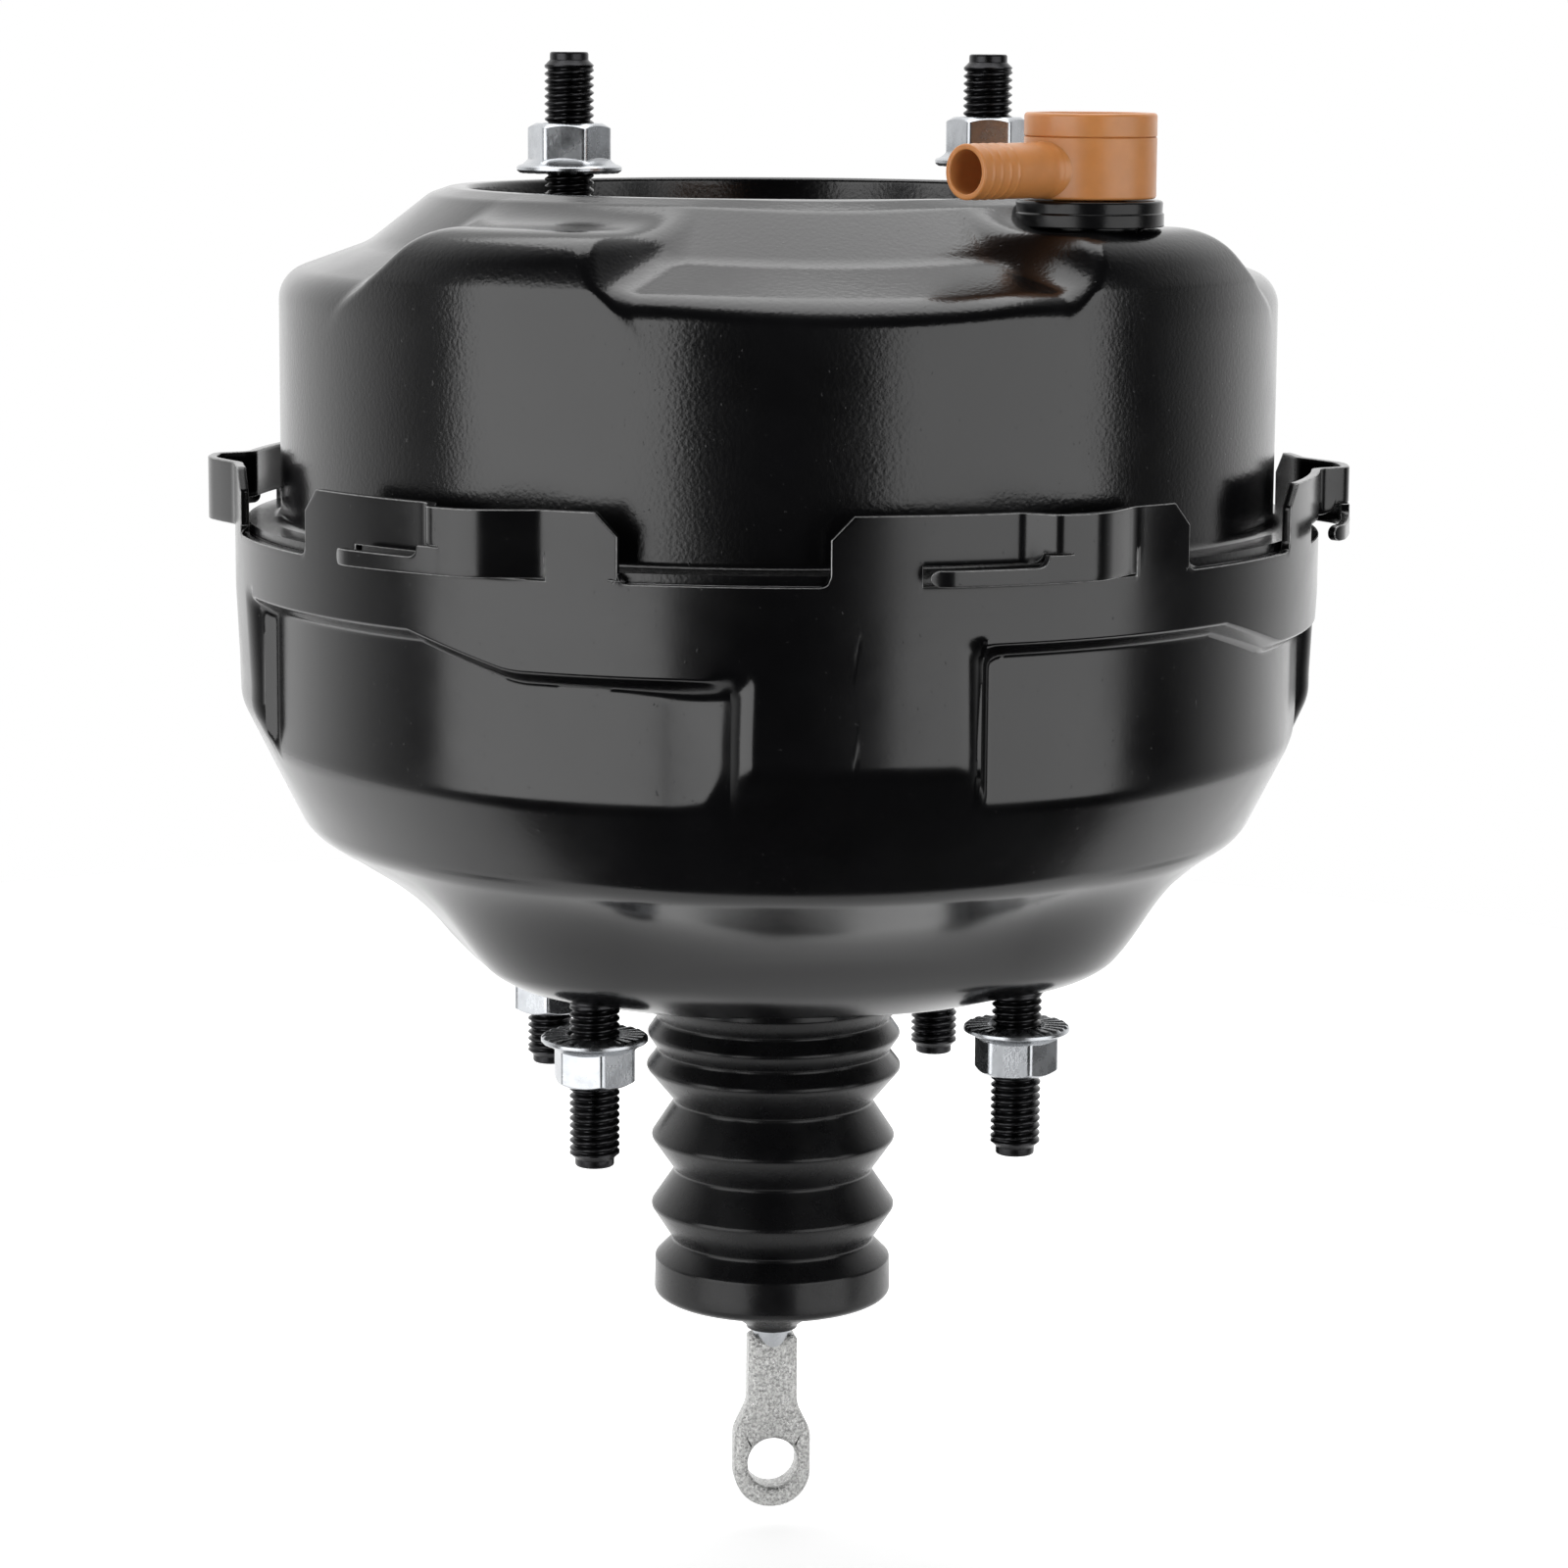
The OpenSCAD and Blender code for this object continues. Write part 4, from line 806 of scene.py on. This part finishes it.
def valve_grommet():
    """The grommet: lip under the sheet, neck through its hole and collar on the pad."""
    bore_r, foot_z, neck_r, collar_r, top_z = 7.05, 148.9, 9.5, 14.3, 158
    rub = rounded([(bore_r, foot_z, 0), (11.1, foot_z, 0.6), (11.9, 151.7, 0.3), (neck_r, 151.8, 0),
                   (neck_r, PAD_Z, 0), (collar_r, PAD_Z, 0.3), (collar_r, 155.5, 0.4), (14.0, 155.7, 0.2),
                   (14.1, top_z, 0.6), (bore_r, top_z, 0), (bore_r, foot_z, 0)], 5)
    return lathe(resample(rub, 2), 96, VALVE)


def build_valve():
    piece("valve_body_moulded", join(valve_barrel(), valve_nozzle()), "check_valve", NYLON,
          ["valve_body"], sharp=40)
    piece("valve_cap_moulded", valve_cap(), "check_valve", NYLON, ["valve_cap"], sharp=40)
    piece("valve_grommet_rubber", valve_grommet(), "housing", GROMMET, ["valve_grommet"],
          sharp=45)


# ---------------------------------------------------------------- boot and input rod

RING_TOP = -66.2
BOOT_WALL = 1.4
EYE_Z = -110.6
EYE_TOP, EYE_BOTTOM, EYE_SHANK = -82.8, -120.4, -103.6
EYE_HALF, SHANK_HALF = 8.05, 5.15
PIN_R = 5.4


def build_boot():
    """The boot in three pieces: its folds, its ring on the tail and its nose on the rod."""
    folds = rounded([
        (24.7, RING_TOP, 0), (24.7, -65.4, 0.9), (20.9, -61.6, 0.9), (25.7, -54.2, 1.1), (20.6, -46.7, 0.9),
        (25.7, -39.4, 1.1), (20.7, -31.8, 0.9), (26.9, -24.4, 1.1), (24.2, -20.9, 0.8), (26.6, -17.3, 1.0),
        (24.3, -14.0, 0.8), (26.9, -10.1, 1.2), (26.3, -3.0, 0.6), (24.6, -2.5, 0)], 7)
    outer = resample(folds, 1.2)
    inner = offset(folds, BOOT_WALL)[::-1]
    closed = np.vstack([outer, [[24.05, -2.5], [24.05, -8.0]], inner[1:], outer[:1]])
    bellows = piece("boot_bellows", lathe(closed, 128), "housing", BOOT, ["boot"],
                    sharp=60)
    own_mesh(bellows)
    ring = rounded([(24.7, RING_TOP, 0), (24.85, -72.9, 1.7), (23.2, -73.9, 0.8), (20.5, -74.4, 0),
                    (19.0, -73.7, 0.4), (18.8, -69.6, 0), (18.8, -66.6, 0), (23.3, RING_TOP, 0),
                    (24.7, RING_TOP, 0)], 6)
    piece("boot_ring", lathe(resample(ring, 1.5), 128, flip=True), "power_piston", BOOT,
          ["boot"], sharp=60)
    nose = rounded([(20.6, -74.3, 0), (11.4, -76.4, 3), (5.5, -80.6, 0.6), (5.3, -81.4, 0.2),
                    (4.75, -81.4, 0.1), (4.75, -79.6, 0.4), (11.0, -75.2, 2), (19.2, -73.5, 0),
                    (20.6, -74.3, 0)], 5)
    tip = piece("boot_nose", lathe(resample(nose, 1.0), 96, flip=True), None, BOOT,
                ["boot"], sharp=60)
    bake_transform(tip)


def eye_outline(cut=0.0):
    """The flat eye's outline, cut back all round and arched at its top."""
    top, bottom = EYE_TOP - 1.9 * cut, EYE_BOTTOM + cut
    shank, wide = cut - SHANK_HALF, cut - EYE_HALF
    half = [(0.0, top, 0), (shank, top, 1.3 + 1.7 * cut), (shank, -97.8, 6),
            (wide, -103.8 + 0.3 * cut, 6), (wide, bottom, 7.8 - cut), (0, bottom, 0)]
    left = rounded(half, 8)
    right = left[::-1][1:-1] * np.array([-1, 1])
    ends = np.vstack([left, right])
    way = (np.roll(ends, -1, axis=0) - ends)[:, None]
    thirds = [ends[:, None] + way * share for share in (0, 1 / 3, 2 / 3)]
    return np.concatenate(thirds, axis=1).reshape(-1, 2)


def build_rod():
    """The input rod in two pieces: its shaft with the ball, and the flat forged eye."""
    shaft = rounded([(0.4, -1.41, 0), (2.0, -1.86, 0), (3.6, -3.1, 0), (4.6, -6.0, 2), (3.4, -9.1, 0),
                     (2.9, -10, 0), (2.9, -15, 0), (4.0, -17.5, 0), (4.0, -54, 0), (4.5, -54, 0),
                     (4.5, -80.5, 0), (3.6, -84.5, 0), (2.4, -88.0, 0), (0.4, -88.0, 0)], 6)
    rod = lathe(resample(shaft, 2.5), 48, flip=True)
    piece("input_rod_shaft", rod, "input_rod", ZINC, ["input_rod"], sharp=40)
    # The flat eye: rings of points from the outline in to the bore, on both faces
    outline, mid, face = eye_outline(), eye_outline(0.4), eye_outline(1.3)
    bore_c = np.array([0.0, EYE_Z])
    rel = outline - bore_c
    ang = np.arctan2(rel[:, 1], rel[:, 0])
    ring = bore_c + PIN_R * np.stack([np.cos(ang), np.sin(ang)], 1)
    shank = outline[:, 1] > EYE_SHANK
    lean = outline[shank, 0] * 0.12
    ring[shank] = bore_c + PIN_R * np.stack([np.sin(lean), np.cos(lean)], 1)
    inward = outline - ring
    length = np.linalg.norm(inward, axis=1)[:, None]
    unit = inward / length
    collar = ring + unit * 0.7
    levels = []

    def loop(pts, y):
        levels.append(np.stack([pts[:, 0], np.full(len(pts), y), pts[:, 1]], 1))

    for y, edge in ((-2.3, outline), (-3.0, mid), (-3.5, face)):
        loop(edge, y)
    for share in (0.6, 0.3):
        loop(collar + (face - collar) * share, -3.5)
    for y, out in ((-3.5, 0.7), (-3.05, 0.15), (-2.7, 0.0), (2.7, 0.0), (3.05, 0.15), (3.5, 0.7)):
        loop(ring + unit * out, y)
    for share in (0.3, 0.6):
        loop(collar + (face - collar) * share, 3.5)
    for y, edge in ((3.5, face), (3.0, mid), (2.3, outline), (-2.3, outline)):
        loop(edge, y)
    p = np.stack(levels, 1)
    eye = grid(p, wrap=True)
    piece("input_rod_eye", eye, "input_rod", FORGED, ["input_rod"], sharp=50)


# ---------------------------------------------------------------- materials of the solids that stay

FINISH = {
    PLAIN_STEEL: ["firewall_stud_plate", "master_stud_plate", "front_seal_retainer", "rear_seal_ring",
                  "primary_ring", "lock_ring", "rod_collar", "stop_key", "poppet_retainer",
                  "output_rod"],
    ALLOY: ["divider", "primary_plate", "secondary_plate", "spring_seat"],
    RUBBER: ["divider_seal", "front_seal", "rear_seal", "primary_diaphragm", "secondary_diaphragm",
             "reaction_disc", "poppet", "valve_disc"],
    SPRING: ["return_spring", "poppet_spring", "rod_spring", "valve_spring"],
    ZINC: ["adjusting_screw", "plunger"],
    RESIN: ["power_piston"],
    BEARING: ["rear_bearing"],
    FELT: ["air_filter", "silencer"],
}


def finish_solids():
    """Gives the solids that no piece replaces their materials."""
    for material, names in FINISH.items():
        for name in names:
            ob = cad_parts[name]
            ob.data.materials.clear()
            ob.data.materials.append(material)


# ---------------------------------------------------------------- camera, floor and light


SENSOR = 36.0
FOCAL_PIXELS, FRAME_PIXELS = 4624, 1600
CAMERA_AT = (-0.1326, -0.9192, 0.1895)
CAMERA_TURN, CAMERA_PITCH, CAMERA_ROLL = 8.32, 9.44, 0.4


def build_camera():
    """The camera, fitted to the studs, the dish's rim, the tabs and the silhouettes."""
    cam = bpy.data.objects.new("camera", bpy.data.cameras.new("camera"))
    cam.data.sensor_width = SENSOR
    cam.data.lens = SENSOR * FOCAL_PIXELS / FRAME_PIXELS
    cam.data.clip_start, cam.data.clip_end = 0.05, 50
    turn, pitch, roll = (math.radians(a) for a in (CAMERA_TURN, CAMERA_PITCH, CAMERA_ROLL))
    level = math.cos(pitch)
    ahead = Vector((math.sin(turn) * level, math.cos(turn) * level, -math.sin(pitch)))
    right = Vector((math.cos(turn), -math.sin(turn), 0))
    up = right.cross(ahead)
    r2 = right * math.cos(roll) + up * math.sin(roll)
    u2 = up * math.cos(roll) - right * math.sin(roll)
    m = Matrix((r2, u2, -ahead)).transposed().to_4x4()
    m.translation = CAMERA_AT
    cam.matrix_world = m
    scene.collection.objects.link(cam)
    scene.camera = cam


def build_stage():
    """A pale round floor under the object."""
    n = 96
    az = np.arange(n) * 2 * math.pi / n
    rim = np.stack([FLOOR_R * np.cos(az), FLOOR_Y + FLOOR_R * np.sin(az), np.full(n, FLOOR_Z)], 1)
    v, f = fan(rim, np.array([[0, FLOOR_Y, FLOOR_Z]]))
    mesh = bpy.data.meshes.new("floor")
    mesh.from_pydata((v * MM).tolist(), [], f[:, :3].tolist())
    s = Shader("pale_floor", Metallic=0.0)
    s.color(s.tones(s.noise(0.4, 3), [(0.3, (0.9, 0.9, 0.9)), (0.7, (0.94, 0.94, 0.94))]))
    s.set("Roughness", 0.8)
    s.set("Emission Color", (1, 1, 1, 1))
    s.set("Emission Strength", 0.5)
    mesh.materials.append(s.mat)
    floor = bpy.data.objects.new("floor", mesh)
    scene.collection.objects.link(floor)


def build_world():
    """White where the camera looks past the object; as a light, dark in front and pale behind."""
    world = bpy.data.worlds.new("studio")
    scene.world = world
    world.use_nodes = True
    nt = world.node_tree
    nt.nodes.clear()
    out = nt.nodes.new("ShaderNodeOutputWorld")
    seen, lit = nt.nodes.new("ShaderNodeBackground"), nt.nodes.new("ShaderNodeBackground")
    seen.inputs["Color"].default_value = (1, 1, 1, 1)
    seen.inputs["Strength"].default_value = 1.0
    mix = nt.nodes.new("ShaderNodeMixShader")
    path = nt.nodes.new("ShaderNodeLightPath")
    nt.links.new(path.outputs["Is Camera Ray"], mix.inputs["Fac"])
    nt.links.new(lit.outputs[0], mix.inputs[1])
    nt.links.new(seen.outputs[0], mix.inputs[2])
    nt.links.new(mix.outputs[0], out.inputs["Surface"])
    coord = nt.nodes.new("ShaderNodeTexCoord")
    split = nt.nodes.new("ShaderNodeSeparateXYZ")
    nt.links.new(coord.outputs["Generated"], split.inputs[0])
    ramp = nt.nodes.new("ShaderNodeMapRange")
    ramp.interpolation_type = "SMOOTHSTEP"
    for k, val in zip(("From Min", "From Max", "To Min", "To Max"), (-0.15, 0.75, 0.01, 1.3)):
        ramp.inputs[k].default_value = val
    nt.links.new(split.outputs["Y"], ramp.inputs["Value"])
    nt.links.new(ramp.outputs["Result"], lit.inputs["Strength"])
    lit.inputs["Color"].default_value = (1, 1, 1, 1)


def softbox(name, at, target, size, glow):
    """A soft light of size metres, glow its brightness against the white of the background."""
    data = bpy.data.lights.new(name, "AREA")
    data.shape = "RECTANGLE"
    data.size, data.size_y = size
    data.energy = glow * math.pi * size[0] * size[1]
    ob = bpy.data.objects.new(name, data)
    ob.location = at
    ob.rotation_euler = (Vector(target) - Vector(at)).to_track_quat("-Z", "Y").to_euler()
    ob.visible_camera = False
    scene.collection.objects.link(ob)


def around(az, far, z):
    """A place at an azimuth from the camera's side, far metres out."""
    a = math.radians(az - 8)
    return (far * math.sin(a), -far * math.cos(a), z)


def build_lights():
    """A soft light on each side and one above."""
    softbox("left_box", around(-48, 1.5, 0.15), (0, 0, 0.15), (1.5, 1.5), 2.8)
    softbox("right_box", around(50, 1.5, 0.15), (0, 0, 0.15), (1.55, 1.5), 2.2)
    softbox("top_box", (0.0, 0.35, 1.7), (0, 0, 0.1), (1.6, 1.3), 3.0)


build_rear()
build_front()
build_fasteners()
build_valve()
build_boot()
build_rod()
finish_solids()
build_camera()
build_stage()
build_world()
build_lights()
scene.view_settings.view_transform = "Standard"
